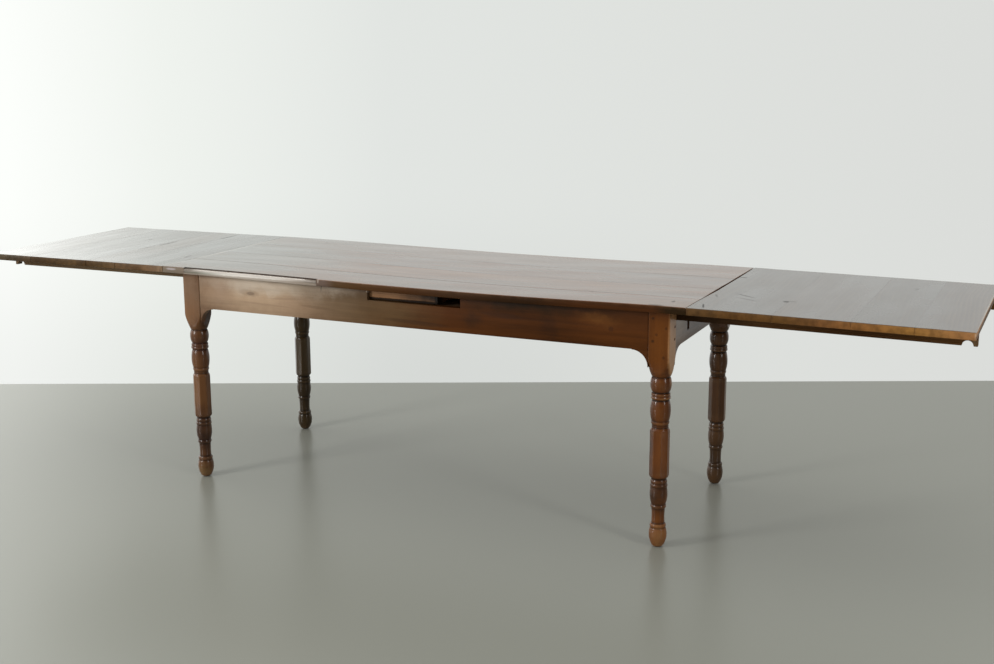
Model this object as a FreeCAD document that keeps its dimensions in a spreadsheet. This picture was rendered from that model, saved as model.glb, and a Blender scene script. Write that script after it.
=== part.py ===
import FreeCAD, Part
import math
import os
import Sketcher

# A farmhouse draw leaf table, drawn open. A loose main top lies on a frame of four turned legs,
# aprons and end rails. A leaf stands out past each end of it on two long lopers, which run
# through notches in the end rail and under a keeper inside the frame. To close the table the
# main top is lifted by one thickness, the leaves slide in on the aprons and the top comes down
# on them. Millimetres; origin on the floor under the middle of the main top; X along the table,
# the front is -Y, +Z up.

doc = FreeCAD.newDocument("DrawLeafTable")

# ---------------------------------------------------------------------------------------------
# Driving dimensions
# ---------------------------------------------------------------------------------------------

SIZES = [
    ("TableHeight", 765, "floor to the face of the main top"),
    ("TopLength", 1880, "main top, along X"),
    ("TopWidth", 776, "main top and leaves, along Y"),
    ("TopThick", 22, "main top and leaves: they lie level when the table is open"),
    ("TopEndSkew", 12, "the right end of the main top is out of square by this, short at the rear"),
    ("ArrisRadius", 3, "worn round on the outer top edges"),
    ("EndRadius", 1.8, "worn round on the top edges of sawn ends"),
    ("SeamBevel", 0.8, "eased edge along each joint between boards"),
    ("FrontBoardWidth", 163, "main top boards, front to rear; the rear one takes the rest"),
    ("SecondBoardWidth", 180, ""),
    ("ThirdBoardWidth", 208, ""),
    ("StripInset", 90, "repair strip in the front edge: left end of the top to the strip"),
    ("StripLength", 534, ""),
    ("StripDepth", 9, ""),
    ("LeafLength", 788, "each leaf, along X"),
    ("LeafJoint", 1, "gap between the main top and a leaf"),
    ("LeftOuterBoardWidth", 195, "left leaf boards, outer end first; the inner one takes the rest"),
    ("LeftSecondBoardWidth", 255, ""),
    ("LeftThirdBoardWidth", 130, ""),
    ("RightOuterBoardWidth", 159, "right leaf boards, outer end first"),
    ("RightSecondBoardWidth", 170, ""),
    ("RightThirdBoardWidth", 220, ""),
    ("EndOverhang", 63, "main top past the leg blocks, at each end"),
    ("SideOverhang", 27, "main top past the leg blocks, front and rear"),
    ("LegStock", 66, "side of the square block at the top of a leg"),
    ("ShoulderRise", 61, "height over which the lathe has rounded the foot of the block"),
    ("ShoulderRadius", 29, "radius of that shoulder where the block ends"),
    ("FootHeight", 63, "turned members of the leg, from the floor up"),
    ("FootTipRadius", 14, ""),
    ("FootRadius", 27.6, ""),
    ("FootNeckRadius", 24, ""),
    ("AnkleRingHeight", 13, ""),
    ("AnkleRingRadius", 24.8, ""),
    ("ShinHeight", 50, ""),
    ("ShinFootRadius", 20.5, ""),
    ("ShinWaistRadius", 19.6, ""),
    ("ShinTopRadius", 21, ""),
    ("LowerRingHeight", 11, ""),
    ("LowerRingRadius", 24, ""),
    ("LowerVaseHeight", 56, ""),
    ("LowerVaseFootRadius", 21.7, ""),
    ("LowerVaseRadius", 27.3, ""),
    ("LowerVaseTopRadius", 25, ""),
    ("WideBeadHeight", 11, ""),
    ("WideBeadRadius", 27, ""),
    ("NarrowBeadHeight", 13, ""),
    ("NarrowBeadRadius", 25.6, ""),
    ("LowerGrooveHeight", 6, ""),
    ("LowerGrooveRadius", 23.3, ""),
    ("ShaftHeight", 156, "eight-sided shaft"),
    ("ShaftFlats", 57, "across its flats"),
    ("ShaftBevel", 7, "height of the turned bevel at each end of the shaft"),
    ("CollarGrooveHeight", 12, ""),
    ("CollarGrooveRadius", 25.3, ""),
    ("CollarBeadHeight", 12, ""),
    ("CollarBeadRadius", 27.8, ""),
    ("UpperVaseHeight", 63, ""),
    ("UpperVaseRadius", 31.3, ""),
    ("UpperVaseNeckRadius", 27, ""),
    ("UpperGrooveHeight", 4, ""),
    ("UpperGrooveRadius", 26, ""),
    ("NeckRingHeight", 19, ""),
    ("NeckRingRadius", 30.2, ""),
    ("BulbHeight", 44, ""),
    ("BulbFootRadius", 27.3, ""),
    ("BulbRadius", 32.4, ""),
    ("BulbTopRadius", 28.6, ""),
    ("BlockGrooveHeight", 4, ""),
    ("BlockGrooveRadius", 27.5, ""),
    ("BeadRise", 2, "how far a bead or ring stands out past its own edges"),
    ("RailThick", 24, "aprons, end rails and knee brackets"),
    ("RailDepth", 122, "height of aprons and end rails"),
    ("RailSetback", 2, "rails behind the outer faces of the legs"),
    ("TenonThick", 9, ""),
    ("TenonLength", 28, ""),
    ("TenonShoulder", 10, "rail edge to tenon edge"),
    ("SlotWidth", 336, "lifting slot in the top edge of each apron"),
    ("SlotOffset", 23, "middle of the slot from the middle of the table"),
    ("SlotDepth", 39, ""),
    ("BracketReach", 52, "knee bracket, both ways from its corner"),
    ("BracketTip", 3, "thickness left at its two tips"),
    ("LoperThick", 22, ""),
    ("LoperDepth", 38, "under a leaf"),
    ("TailDepth", 22.5, "where a loper runs under the keepers"),
    ("RebateClearance", 4, "full depth of a loper to the keeper when the leaf is in"),
    ("TailEnd", 164, "middle of the table to the inner end of a loper"),
    ("LoperToLeg", 3, "right-hand lopers clear the leg blocks by this"),
    ("LoperToLoper", 4, "left-hand lopers pass inside the right-hand ones"),
    ("LoperEndInset", 2, "leaf end to loper end"),
    ("NotchClearance", 1.5, "loper in its end rail notch, each side"),
    ("ScallopRadius", 17, "finger scallop under the outer end of a loper"),
    ("ScallopInset", 25, "loper end to the middle of the scallop"),
    ("DrawStop", 80, "further draw before the stop pegs meet the frame"),
    ("StopPegDiameter", 12, ""),
    ("StopPegProud", 10, ""),
    ("StopPegDepth", 14, ""),
    ("BattenWidth", 252, "locating batten under the main top"),
    ("BattenOffset", -22, "its middle from the middle of the table"),
    ("BattenThick", 37, ""),
    ("BattenClearance", 1, "batten to apron at each end"),
    ("BearerSpacing", 544, "between the two bearers inside the frame"),
    ("BearerWidth", 40, "bearers and keepers"),
    ("BearerDepth", 40, ""),
    ("KeeperClearance", 0.5, "keeper above the loper tails"),
    ("CentreBearerReach", 16, "centre bearer past the lifting slots, at each end"),
    ("CentreBearerThick", 22, ""),
    ("HousingDepth", 6, "bearers and keepers into the aprons"),
    ("GuidePegDiameter", 16, ""),
    ("GuidePegSpacing", 240, ""),
    ("GuidePegRise", 33, "above the centre bearer"),
    ("GuideHoleClearance", 1, "round each guide peg in the batten"),
    ("PegDiameter", 8, "drawbore pegs"),
    ("PegLength", 32, ""),
    ("PegProud", 0.7, ""),
    ("PegInset", 14, "edge of the leg block to the peg"),
    ("PegFromTop", 23, "top of an apron to its upper peg"),
    ("RailPegFromTop", 54, "top of an end rail to its upper peg"),
    ("PegFromBottom", 30, "bottom of a rail to its lower peg"),
    ("ScrewHeadDiameter", 9, "wood screws"),
    ("ScrewHeadHeight", 4, ""),
    ("ScrewShankDiameter", 4.5, ""),
    ("ScrewBite", 14, "length of screw in the board it holds"),
    ("ScrewSpacing", 180, "between the two rows of screws in the batten"),
]

sheet = doc.addObject("Spreadsheet::Sheet", "Sizes")
for number, (alias, value, note) in enumerate(SIZES, start=1):
    sheet.set(f"A{number}", alias)
    sheet.set(f"B{number}", str(value))
    sheet.set(f"C{number}", note)
    sheet.setAlias(f"B{number}", alias)
doc.recompute()


class Size:
    """A length that carries both its value and the spreadsheet expression it comes from."""

    def __init__(self, value, text):
        self.value = value
        self.text = text

    def __add__(self, other):
        other = as_size(other)
        return Size(self.value + other.value, f"({self.text} + {other.text})")

    def __sub__(self, other):
        other = as_size(other)
        return Size(self.value - other.value, f"({self.text} - {other.text})")

    def __mul__(self, factor):
        factor = as_size(factor)
        return Size(self.value * factor.value, f"({self.text} * {factor.text})")

    def __truediv__(self, factor):
        factor = as_size(factor)
        return Size(self.value / factor.value, f"({self.text} / {factor.text})")

    def __neg__(self):
        return self * -1


def as_size(length):
    return length if isinstance(length, Size) else Size(length, str(length))


def cell(alias):
    return Size(float(sheet.get(alias)), f"Sizes.{alias}")


def min_of(first, second):
    return first if first.value <= second.value else second


def max_of(first, second):
    return second if first.value <= second.value else first


NOTHING = as_size(0)
SAME = 0.001
TAN_EIGHTH_TURN = math.tan(math.radians(22.5))
SIDES = {"left": -1, "right": 1}
DEPTHS = {"front": -1, "rear": 1}

# Levels and faces that several pieces share.
top_face = cell("TableHeight")
underside = top_face - cell("TopThick")
half_top = cell("TopLength") / 2
half_width = cell("TopWidth") / 2
leaf_inner = half_top + cell("LeafJoint")
leaf_outer = leaf_inner + cell("LeafLength")
half_stock = cell("LegStock") / 2
leg_x = half_top - cell("EndOverhang") - half_stock
leg_y = half_width - cell("SideOverhang") - half_stock
leg_inner_x = leg_x - half_stock
leg_inner_y = leg_y - half_stock
rail_bottom = underside - cell("RailDepth")
rail_outer_x = leg_x + half_stock - cell("RailSetback")
rail_outer_y = leg_y + half_stock - cell("RailSetback")
rail_inner_x = rail_outer_x - cell("RailThick")
rail_inner_y = rail_outer_y - cell("RailThick")
slot_floor = underside - cell("SlotDepth")
loper_bottom = underside - cell("LoperDepth")
tail_top = loper_bottom + cell("TailDepth")
keeper_bottom = tail_top + cell("KeeperClearance")
keeper_thick = underside - keeper_bottom
right_loper_y = leg_inner_y - cell("LoperToLeg") - cell("LoperThick") / 2
left_loper_y = right_loper_y - cell("LoperThick") - cell("LoperToLoper")
bearer_x = cell("BearerSpacing") / 2
bearer_length = (rail_inner_y + cell("HousingDepth")) * 2


# ---------------------------------------------------------------------------------------------
# Modelling helpers
# ---------------------------------------------------------------------------------------------

def bind(thing, **sizes):
    """Set properties and tie them to the spreadsheet; x, y and z are the object's place."""
    places = {"x": "Placement.Base.x", "y": "Placement.Base.y", "z": "Placement.Base.z"}
    for prop, size in sizes.items():
        thing.setExpression(places.get(prop, prop), as_size(size).text)


def new_body(label):
    body = doc.addObject("PartDesign::Body", label)
    body.Label = label
    return body


def sketch_on(body, role, level):
    """A sketch on one of the body's own origin planes, moved to the given level of its normal."""
    sketch = body.newObject("Sketcher::SketchObject", "Outline")
    plane = next(item for item in body.Origin.OriginFeatures if item.Role == role)
    sketch.AttachmentSupport = [(plane, "")]
    sketch.MapMode = "FlatFace"
    offset = -level if role == "XZ_Plane" else level
    sketch.AttachmentOffset = FreeCAD.Placement(
        FreeCAD.Vector(0, 0, offset.value), FreeCAD.Rotation()
    )
    sketch.setExpression("AttachmentOffset.Base.z", offset.text)
    return sketch


def hold(sketch, geometry, end, x, y):
    """Tie a point of a sketch to its distances from the origin."""
    for kind, size in (("DistanceX", x), ("DistanceY", y)):
        rule = Sketcher.Constraint(kind, -1, 1, geometry, end, size.value)
        index = sketch.addConstraint(rule)
        sketch.setExpression(f"Constraints[{index}]", size.text)


def arc_between(start, via, end):
    """The arc through three points, and whether it runs clockwise from start to end."""
    through = Part.Circle(start, via, end)
    clockwise = (via - start).cross(end - via).z < 0
    ends = (end, start) if clockwise else (start, end)
    angles = [math.atan2(p.y - through.Center.y, p.x - through.Center.x) for p in ends]
    circle = Part.Circle(through.Center, FreeCAD.Vector(0, 0, 1), through.Radius)
    return Part.ArcOfCircle(circle, angles[0], angles[1]), clockwise


def draw(sketch, corners):
    """Draw a closed outline. A corner is (x, y), or (x, y, via_x, via_y) if an arc leads to it."""
    corners = [tuple(as_size(size) for size in corner) for corner in corners]
    edges = []
    for before, corner in zip([corners[-1]] + corners[:-1], corners):
        start = FreeCAD.Vector(before[0].value, before[1].value, 0)
        end = FreeCAD.Vector(corner[0].value, corner[1].value, 0)
        if len(corner) == 2:
            index = sketch.addGeometry(Part.LineSegment(start, end))
            edges.append((index, 1, 2))
            continue
        via = FreeCAD.Vector(corner[2].value, corner[3].value, 0)
        curve, clockwise = arc_between(start, via, end)
        index = sketch.addGeometry(curve)
        edges.append((index, 2, 1) if clockwise else (index, 1, 2))
        mark = sketch.addGeometry(Part.Point(via), True)
        hold(sketch, mark, 1, corner[2], corner[3])
        sketch.addConstraint(Sketcher.Constraint("PointOnObject", mark, 1, index))
    for (index, _, end), (following, start, _) in zip(edges, edges[1:] + edges[:1]):
        sketch.addConstraint(Sketcher.Constraint("Coincident", index, end, following, start))
    for (index, _, end), corner in zip(edges, corners):
        hold(sketch, index, end, corner[0], corner[1])


def rectangle(x_low, x_high, y_low, y_high):
    return [(x_low, y_low), (x_high, y_low), (x_high, y_high), (x_low, y_high)]


def pad(body, role, level, corners, length):
    """Pad an outline from a level of its plane towards the positive axis."""
    sketch = sketch_on(body, role, level)
    draw(sketch, corners)
    feature = body.newObject("PartDesign::Pad", "Pad")
    feature.Profile = sketch
    feature.Reversed = role == "XZ_Plane"
    bind(feature, Length=length)
    return feature


def pocket(body, role, level, corners, length):
    """Cut an outline from a level of its plane towards the positive axis."""
    sketch = sketch_on(body, role, level)
    draw(sketch, corners)
    feature = body.newObject("PartDesign::Pocket", "Pocket")
    feature.Profile = sketch
    feature.Reversed = role != "XZ_Plane"
    bind(feature, Length=length)
    return feature


def turn(body, kind, corners):
    """Revolve an outline of (radius, height) corners round the body's own Z axis."""
    sketch = sketch_on(body, "XZ_Plane", NOTHING)
    draw(sketch, corners)
    feature = body.newObject(kind, "Turning")
    feature.Profile = sketch
    feature.ReferenceAxis = (sketch, ["V_Axis"])
    feature.Angle = 360
    return feature


def round_edges(body, radius, wanted):
    """Fillet the edges of the body for which wanted(edge) holds."""
    doc.recompute()
    tip = body.Tip
    names = [f"Edge{n}" for n, edge in enumerate(tip.Shape.Edges, start=1) if wanted(edge)]
    fillet = body.newObject("PartDesign::Fillet", "Fillet")
    fillet.Base = (tip, names)
    bind(fillet, Radius=radius)
    return fillet


def box(label, x_low, y_low, z_low, length, width, height):
    block = doc.addObject("Part::Box", label)
    bind(block, Length=length, Width=width, Height=height, x=x_low, y=y_low, z=z_low)
    return block


def round_bar(label, x, y, z, diameter, length, axis="Z"):
    """A cylinder from (x, y, z) along the axis, or against it if the length is negative."""
    bar = doc.addObject("Part::Cylinder", label)
    turns = {
        "Z": FreeCAD.Rotation(),
        "X": FreeCAD.Rotation(FreeCAD.Vector(0, 1, 0), 90),
        "Y": FreeCAD.Rotation(FreeCAD.Vector(1, 0, 0), -90),
    }
    bar.Placement = FreeCAD.Placement(FreeCAD.Vector(), turns[axis])
    bind(bar, Radius=diameter / 2, Height=length, x=x, y=y, z=z)
    return bar


def gather(label, pieces):
    """One node of several separate solids."""
    group = doc.addObject("Part::Compound", label)
    group.Links = pieces
    group.Label = label
    return group


def cut_by(label, blank, tools):
    """The blank less everything that is let into it."""
    tool = tools[0] if len(tools) == 1 else gather(f"{label}_cuts", tools)
    result = doc.addObject("Part::Cut", label)
    result.Base = blank
    result.Tool = tool
    result.Label = label
    return result


def screw(label, x, y, head_z, grip):
    """A countersunk wood screw, driven up from below through the given grip."""
    head = doc.addObject("Part::Cone", f"{label}_head")
    bind(
        head,
        Radius1=cell("ScrewHeadDiameter") / 2,
        Radius2=cell("ScrewShankDiameter") / 2,
        Height=cell("ScrewHeadHeight"),
        x=x,
        y=y,
        z=head_z,
    )
    shank = round_bar(
        f"{label}_shank", x, y, head_z, cell("ScrewShankDiameter"), grip + cell("ScrewBite")
    )
    whole = doc.addObject("Part::Fuse", label)
    whole.Base = head
    whole.Tool = shank
    return whole


# ---------------------------------------------------------------------------------------------
# Legs
# ---------------------------------------------------------------------------------------------

def turned_members():
    """(height, radius at the foot, radius at the middle or None, radius at the top)."""
    rise = cell("BeadRise")

    def bead(name):
        edge = cell(f"{name}Radius") - rise
        return cell(f"{name}Height"), edge, cell(f"{name}Radius"), edge

    def groove(name):
        radius = cell(f"{name}Radius")
        return cell(f"{name}Height"), radius, None, radius

    core = cell("ShaftFlats") / 2 - rise
    ring_edge = cell("NeckRingRadius") - rise
    neck = cell("UpperVaseNeckRadius")
    return [
        (cell("FootHeight"), cell("FootTipRadius"), cell("FootRadius"), cell("FootNeckRadius")),
        bead("AnkleRing"),
        (
            cell("ShinHeight"),
            cell("ShinFootRadius"),
            cell("ShinWaistRadius"),
            cell("ShinTopRadius"),
        ),
        bead("LowerRing"),
        (
            cell("LowerVaseHeight"),
            cell("LowerVaseFootRadius"),
            cell("LowerVaseRadius"),
            cell("LowerVaseTopRadius"),
        ),
        bead("WideBead"),
        bead("NarrowBead"),
        groove("LowerGroove"),
        (cell("ShaftHeight"), core, None, core),
        groove("CollarGroove"),
        bead("CollarBead"),
        (cell("UpperVaseHeight"), neck, cell("UpperVaseRadius"), neck),
        groove("UpperGroove"),
        (cell("NeckRingHeight") / 2, ring_edge, cell("NeckRingRadius"), ring_edge),
        (cell("NeckRingHeight") / 2, ring_edge, cell("NeckRingRadius") - rise / 2, ring_edge),
        groove("UpperGroove"),
        (
            cell("BulbHeight"),
            cell("BulbFootRadius"),
            cell("BulbRadius"),
            cell("BulbTopRadius"),
        ),
        groove("BlockGroove"),
    ]


# The widest point of a member, as a share of its height.
WIDEST = {0: 0.7, 4: 0.68}
SHAFT_MEMBER = 8
# The swell of the rounded shoulder: shares of its width and of its rise.
SWELL_OUT = 0.36
SWELL_UP = 0.28


def leg_blank(label, side_x, side_y):
    body = new_body(label)
    bind(body, x=leg_x * side_x, y=leg_y * side_y)
    members = turned_members()
    outline = [(NOTHING, NOTHING)]
    height = NOTHING
    shaft_bottom = NOTHING
    for number, (rise, low, middle, high) in enumerate(members):
        if abs(low.value - outline[-1][0].value) > SAME:
            outline.append((low, height))
        if number == SHAFT_MEMBER:
            shaft_bottom = height
        if middle is None:
            outline.append((high, height + rise))
        else:
            widest = height + rise * WIDEST.get(number, 0.5)
            outline.append((high, height + rise, middle, widest))
        height = height + rise
    outline.append((NOTHING, height))
    turn(body, "PartDesign::Revolution", outline)

    # The eight-sided shaft, its ends bevelled on the lathe.
    flat = cell("ShaftFlats") / 2
    nib = flat * TAN_EIGHTH_TURN
    corners = [(flat, -nib), (flat, nib), (nib, flat), (-nib, flat)]
    corners = corners + [(-flat, nib), (-flat, -nib), (-nib, -flat), (nib, -flat)]
    pad(body, "XY_Plane", shaft_bottom, corners, cell("ShaftHeight"))
    shaft_top = shaft_bottom + cell("ShaftHeight")
    bevel = cell("ShaftBevel")
    clear = flat + bevel
    waist = flat - cell("BeadRise")
    turn(
        body,
        "PartDesign::Groove",
        [(waist, shaft_bottom), (clear, shaft_bottom), (clear, shaft_bottom + bevel * 2)],
    )
    turn(
        body,
        "PartDesign::Groove",
        [(waist, shaft_top), (clear, shaft_top - bevel * 2), (clear, shaft_top)],
    )

    # The square block, its foot rounded on the lathe.
    pad(
        body,
        "XY_Plane",
        height,
        rectangle(-half_stock, half_stock, -half_stock, half_stock),
        underside - height,
    )
    shoulder = cell("ShoulderRadius")
    corner = half_stock * math.sqrt(2) + cell("BeadRise") / 2
    outside = corner + cell("BeadRise")
    rise = cell("ShoulderRise")
    swell_radius = shoulder + (corner - shoulder) * SWELL_OUT
    swell_height = height + rise * SWELL_UP
    turn(
        body,
        "PartDesign::Groove",
        [
            (shoulder, height, swell_radius, swell_height),
            (outside, height),
            (outside, height + rise),
            (corner, height + rise),
        ],
    )
    return body


# ---------------------------------------------------------------------------------------------
# Frame: aprons, end rails, knee brackets, bearers and keepers
# ---------------------------------------------------------------------------------------------

def apron_blank(label, side):
    """A long rail with its lifting slot and a tenon at each end; side is -1 at the front."""
    outer = rail_outer_y * side
    inner = rail_inner_y * side
    low_y = outer if side < 0 else inner
    slot_left = cell("SlotOffset") - cell("SlotWidth") / 2
    slot_right = slot_left + cell("SlotWidth")
    body = new_body(label)
    pad(
        body,
        "XZ_Plane",
        low_y,
        [
            (-leg_inner_x, rail_bottom),
            (leg_inner_x, rail_bottom),
            (leg_inner_x, underside),
            (slot_right, underside),
            (slot_right, slot_floor),
            (slot_left, slot_floor),
            (slot_left, underside),
            (-leg_inner_x, underside),
        ],
        cell("RailThick"),
    )
    tenon_y = low_y + (cell("RailThick") - cell("TenonThick")) / 2
    tenon_low = rail_bottom + cell("TenonShoulder")
    tenon_high = underside - cell("TenonShoulder")
    for end in (-1, 1):
        near = leg_inner_x * end
        far = near + cell("TenonLength") * end
        tenon = rectangle(min_of(near, far), max_of(near, far), tenon_low, tenon_high)
        pad(body, "XZ_Plane", tenon_y, tenon, cell("TenonThick"))
    return body


def end_rail_blank(label, side, loper_y):
    """A short rail notched for its two lopers; side is -1 at the left."""
    outer = rail_outer_x * side
    inner = rail_inner_x * side
    low_x = min_of(outer, inner)
    far = loper_y + cell("LoperThick") / 2 + cell("NotchClearance")
    near = loper_y - cell("LoperThick") / 2 - cell("NotchClearance")
    if leg_inner_y.value - far.value < cell("LoperToLeg").value:
        far = leg_inner_y
    body = new_body(label)
    pad(
        body,
        "YZ_Plane",
        low_x,
        rectangle(-leg_inner_y, leg_inner_y, rail_bottom, underside),
        cell("RailThick"),
    )
    tenon_x = low_x + (cell("RailThick") - cell("TenonThick")) / 2
    tenon_low = rail_bottom + cell("TenonShoulder")
    tenon_high = loper_bottom - cell("TenonShoulder")
    for end in (-1, 1):
        root = leg_inner_y * end
        tip = root + cell("TenonLength") * end
        tenon = rectangle(min_of(root, tip), max_of(root, tip), tenon_low, tenon_high)
        pad(body, "YZ_Plane", tenon_x, tenon, cell("TenonThick"))
        notch = rectangle(
            min_of(near * end, far * end), max_of(near * end, far * end), loper_bottom, underside
        )
        pocket(body, "YZ_Plane", low_x, notch, cell("RailThick"))
    return body


def bracket(label, plane, low, corner, direction):
    """A knee bracket under a rail, hollowed by a quarter round, seated against a leg block."""
    reach = cell("BracketReach")
    tip = cell("BracketTip")
    sweep = reach - tip
    diagonal = sweep * math.sqrt(0.5)
    body = new_body(label)
    pad(
        body,
        plane,
        low,
        [
            (corner, rail_bottom),
            (corner, rail_bottom - reach),
            (corner + tip * direction, rail_bottom - reach),
            (
                corner + reach * direction,
                rail_bottom - tip,
                corner + (reach - diagonal) * direction,
                rail_bottom - reach + diagonal,
            ),
            (corner + reach * direction, rail_bottom),
        ],
        cell("RailThick"),
    )
    return body


def cross_bar(label, middle_x, width, low_z, thick):
    """A bar across the frame, its ends housed in the aprons."""
    return box(
        label,
        middle_x - width / 2,
        -bearer_length / 2,
        low_z,
        width,
        bearer_length,
        thick,
    )


frame_pegs = []
for depth_name, depth in DEPTHS.items():
    for side_name, side in SIDES.items():
        face_y = (leg_y + half_stock + cell("PegProud")) * depth
        face_x = (leg_x + half_stock + cell("PegProud")) * side
        apron_peg_x = (leg_inner_x + cell("PegInset")) * side
        rail_peg_y = (leg_inner_y + cell("PegInset")) * depth
        apron_levels = (underside - cell("PegFromTop"), rail_bottom + cell("PegFromBottom"))
        rail_levels = (underside - cell("RailPegFromTop"), rail_bottom + cell("PegFromBottom"))
        for level_name, level in zip(("upper", "lower"), apron_levels):
            frame_pegs.append(
                round_bar(
                    f"apron_peg_{depth_name}_{side_name}_{level_name}",
                    apron_peg_x,
                    min_of(face_y, face_y - cell("PegLength") * depth),
                    level,
                    cell("PegDiameter"),
                    cell("PegLength"),
                    "Y",
                )
            )
        for level_name, level in zip(("upper", "lower"), rail_levels):
            frame_pegs.append(
                round_bar(
                    f"rail_peg_{depth_name}_{side_name}_{level_name}",
                    min_of(face_x, face_x - cell("PegLength") * side),
                    rail_peg_y,
                    level,
                    cell("PegDiameter"),
                    cell("PegLength"),
                    "X",
                )
            )
peg_group = gather("frame_pegs", frame_pegs)

bearer_bars = [
    cross_bar(
        f"bearer_{name}",
        bearer_x * side,
        cell("BearerWidth"),
        loper_bottom - cell("BearerDepth"),
        cell("BearerDepth"),
    )
    for name, side in SIDES.items()
]
keeper_bars = [
    cross_bar(f"keeper_{name}", bearer_x * side, cell("BearerWidth"), keeper_bottom, keeper_thick)
    for name, side in SIDES.items()
]
centre_low = slot_floor - cell("CentreBearerThick")
centre_blank = cross_bar(
    "centre_bearer_blank",
    cell("SlotOffset"),
    cell("SlotWidth") + cell("CentreBearerReach") * 2,
    centre_low,
    cell("CentreBearerThick"),
)
guide_pegs = gather(
    "guide_pegs",
    [
        round_bar(
            f"guide_peg_{name}",
            cell("BattenOffset"),
            cell("GuidePegSpacing") / 2 * depth,
            centre_low,
            cell("GuidePegDiameter"),
            cell("CentreBearerThick") + cell("GuidePegRise"),
        )
        for name, depth in DEPTHS.items()
    ],
)
centre_bearer = cut_by("centre_bearer", centre_blank, [guide_pegs])

aprons = {name: apron_blank(f"apron_{name}_blank", side) for name, side in DEPTHS.items()}
end_rails = {
    "left": end_rail_blank("end_rail_left_blank", -1, left_loper_y),
    "right": end_rail_blank("end_rail_right_blank", 1, right_loper_y),
}
bars = bearer_bars + keeper_bars + [centre_blank]
frame_nodes = [peg_group, guide_pegs, centre_bearer] + bearer_bars + keeper_bars
for name, blank in aprons.items():
    frame_nodes.append(cut_by(f"apron_{name}", blank, bars + [peg_group]))
for name, blank in end_rails.items():
    frame_nodes.append(cut_by(f"end_rail_{name}", blank, [peg_group]))
for depth_name, depth in DEPTHS.items():
    for side_name, side in SIDES.items():
        place = f"{depth_name}_{side_name}"
        blank = leg_blank(f"leg_{place}_blank", side, depth)
        joints = [aprons[depth_name], end_rails[side_name], peg_group]
        frame_nodes.append(cut_by(f"leg_{place}", blank, joints))
        frame_nodes.append(
            bracket(
                f"apron_bracket_{place}",
                "XZ_Plane",
                min_of(rail_outer_y * depth, rail_inner_y * depth),
                leg_inner_x * side,
                -side,
            )
        )
        frame_nodes.append(
            bracket(
                f"rail_bracket_{place}",
                "YZ_Plane",
                min_of(rail_outer_x * side, rail_inner_x * side),
                leg_inner_y * depth,
                -depth,
            )
        )


# ---------------------------------------------------------------------------------------------
# Boards of the main top and the leaves
# ---------------------------------------------------------------------------------------------

def plank_section(low, high, bottom, top, round_low, round_high):
    """The section of a plank across its grain: worn round on an outer edge, eased at a joint."""
    bevel = cell("SeamBevel")
    arris = cell("ArrisRadius")
    bow = arris * (1 - math.sqrt(0.5))
    if round_high:
        right = [(high, top - arris), (high - arris, top, high - bow, top - bow)]
    else:
        right = [(high, top - bevel), (high - bevel, top)]
    if round_low:
        left = [(low + arris, top), (low, top - arris, low + bow, top - bow)]
    else:
        left = [(low + bevel, top), (low, top - bevel)]
    return [(low, bottom), (high, bottom)] + right + left


def soften_ends(body, along, half_length):
    """Round the top edges at the sawn ends of a plank that runs along X or Y."""
    shortest = half_length.value - cell("TopEndSkew").value - 1

    def at_end(edge):
        span = edge.BoundBox
        centre = span.Center.x if along == "X" else span.Center.y
        level = span.ZLength < SAME and abs(span.ZMax - top_face.value) < SAME
        return level and abs(centre) > shortest

    return round_edges(body, cell("EndRadius"), at_end)


def top_board(label, low_y, high_y, round_low, round_high):
    """One board of the main top; its right end follows the skewed end of the table."""
    body = new_body(label)
    section = plank_section(low_y, high_y, underside, top_face, round_low, round_high)
    pad(body, "YZ_Plane", -half_top, section, cell("TopLength"))
    beyond = cell("TopThick")
    slope = cell("TopEndSkew") * beyond / cell("TopWidth")
    pocket(
        body,
        "XY_Plane",
        underside,
        [
            (half_top + slope, -half_width - beyond),
            (half_top + beyond, -half_width - beyond),
            (half_top + beyond, half_width + beyond),
            (half_top - cell("TopEndSkew") - slope, half_width + beyond),
        ],
        cell("TopThick"),
    )
    soften_ends(body, "X", half_top)
    return body


def loper(label, side, centre_y):
    """A loper: full depth under the leaf, rebated where it runs under the keepers."""
    outer = leaf_outer - cell("LoperEndInset")
    scallop = outer - cell("ScallopInset")
    keeper_edge = bearer_x + cell("BearerWidth") / 2
    tail_start = keeper_edge + cell("LeafLength") + cell("RebateClearance")
    rebate = tail_start + cell("TailDepth")
    radius = cell("ScallopRadius")
    corners = [
        (cell("TailEnd"), loper_bottom),
        (scallop - radius, loper_bottom),
        (scallop + radius, loper_bottom, scallop, loper_bottom + radius),
        (outer, loper_bottom),
        (outer, underside),
        (rebate, underside),
        (tail_start, tail_top),
        (cell("TailEnd"), tail_top),
    ]
    mirrored = [tuple(s * side if n % 2 == 0 else s for n, s in enumerate(c)) for c in corners]
    body = new_body(label)
    low_y = centre_y - cell("LoperThick") / 2
    pad(body, "XZ_Plane", low_y, mirrored, cell("LoperThick"))
    return body, rebate


# The main top: four boards, the locating batten and the strip let into the front edge.
seams = [-half_width]
for width in ("FrontBoardWidth", "SecondBoardWidth", "ThirdBoardWidth"):
    seams.append(seams[-1] + cell(width))
seams.append(half_width)

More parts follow.
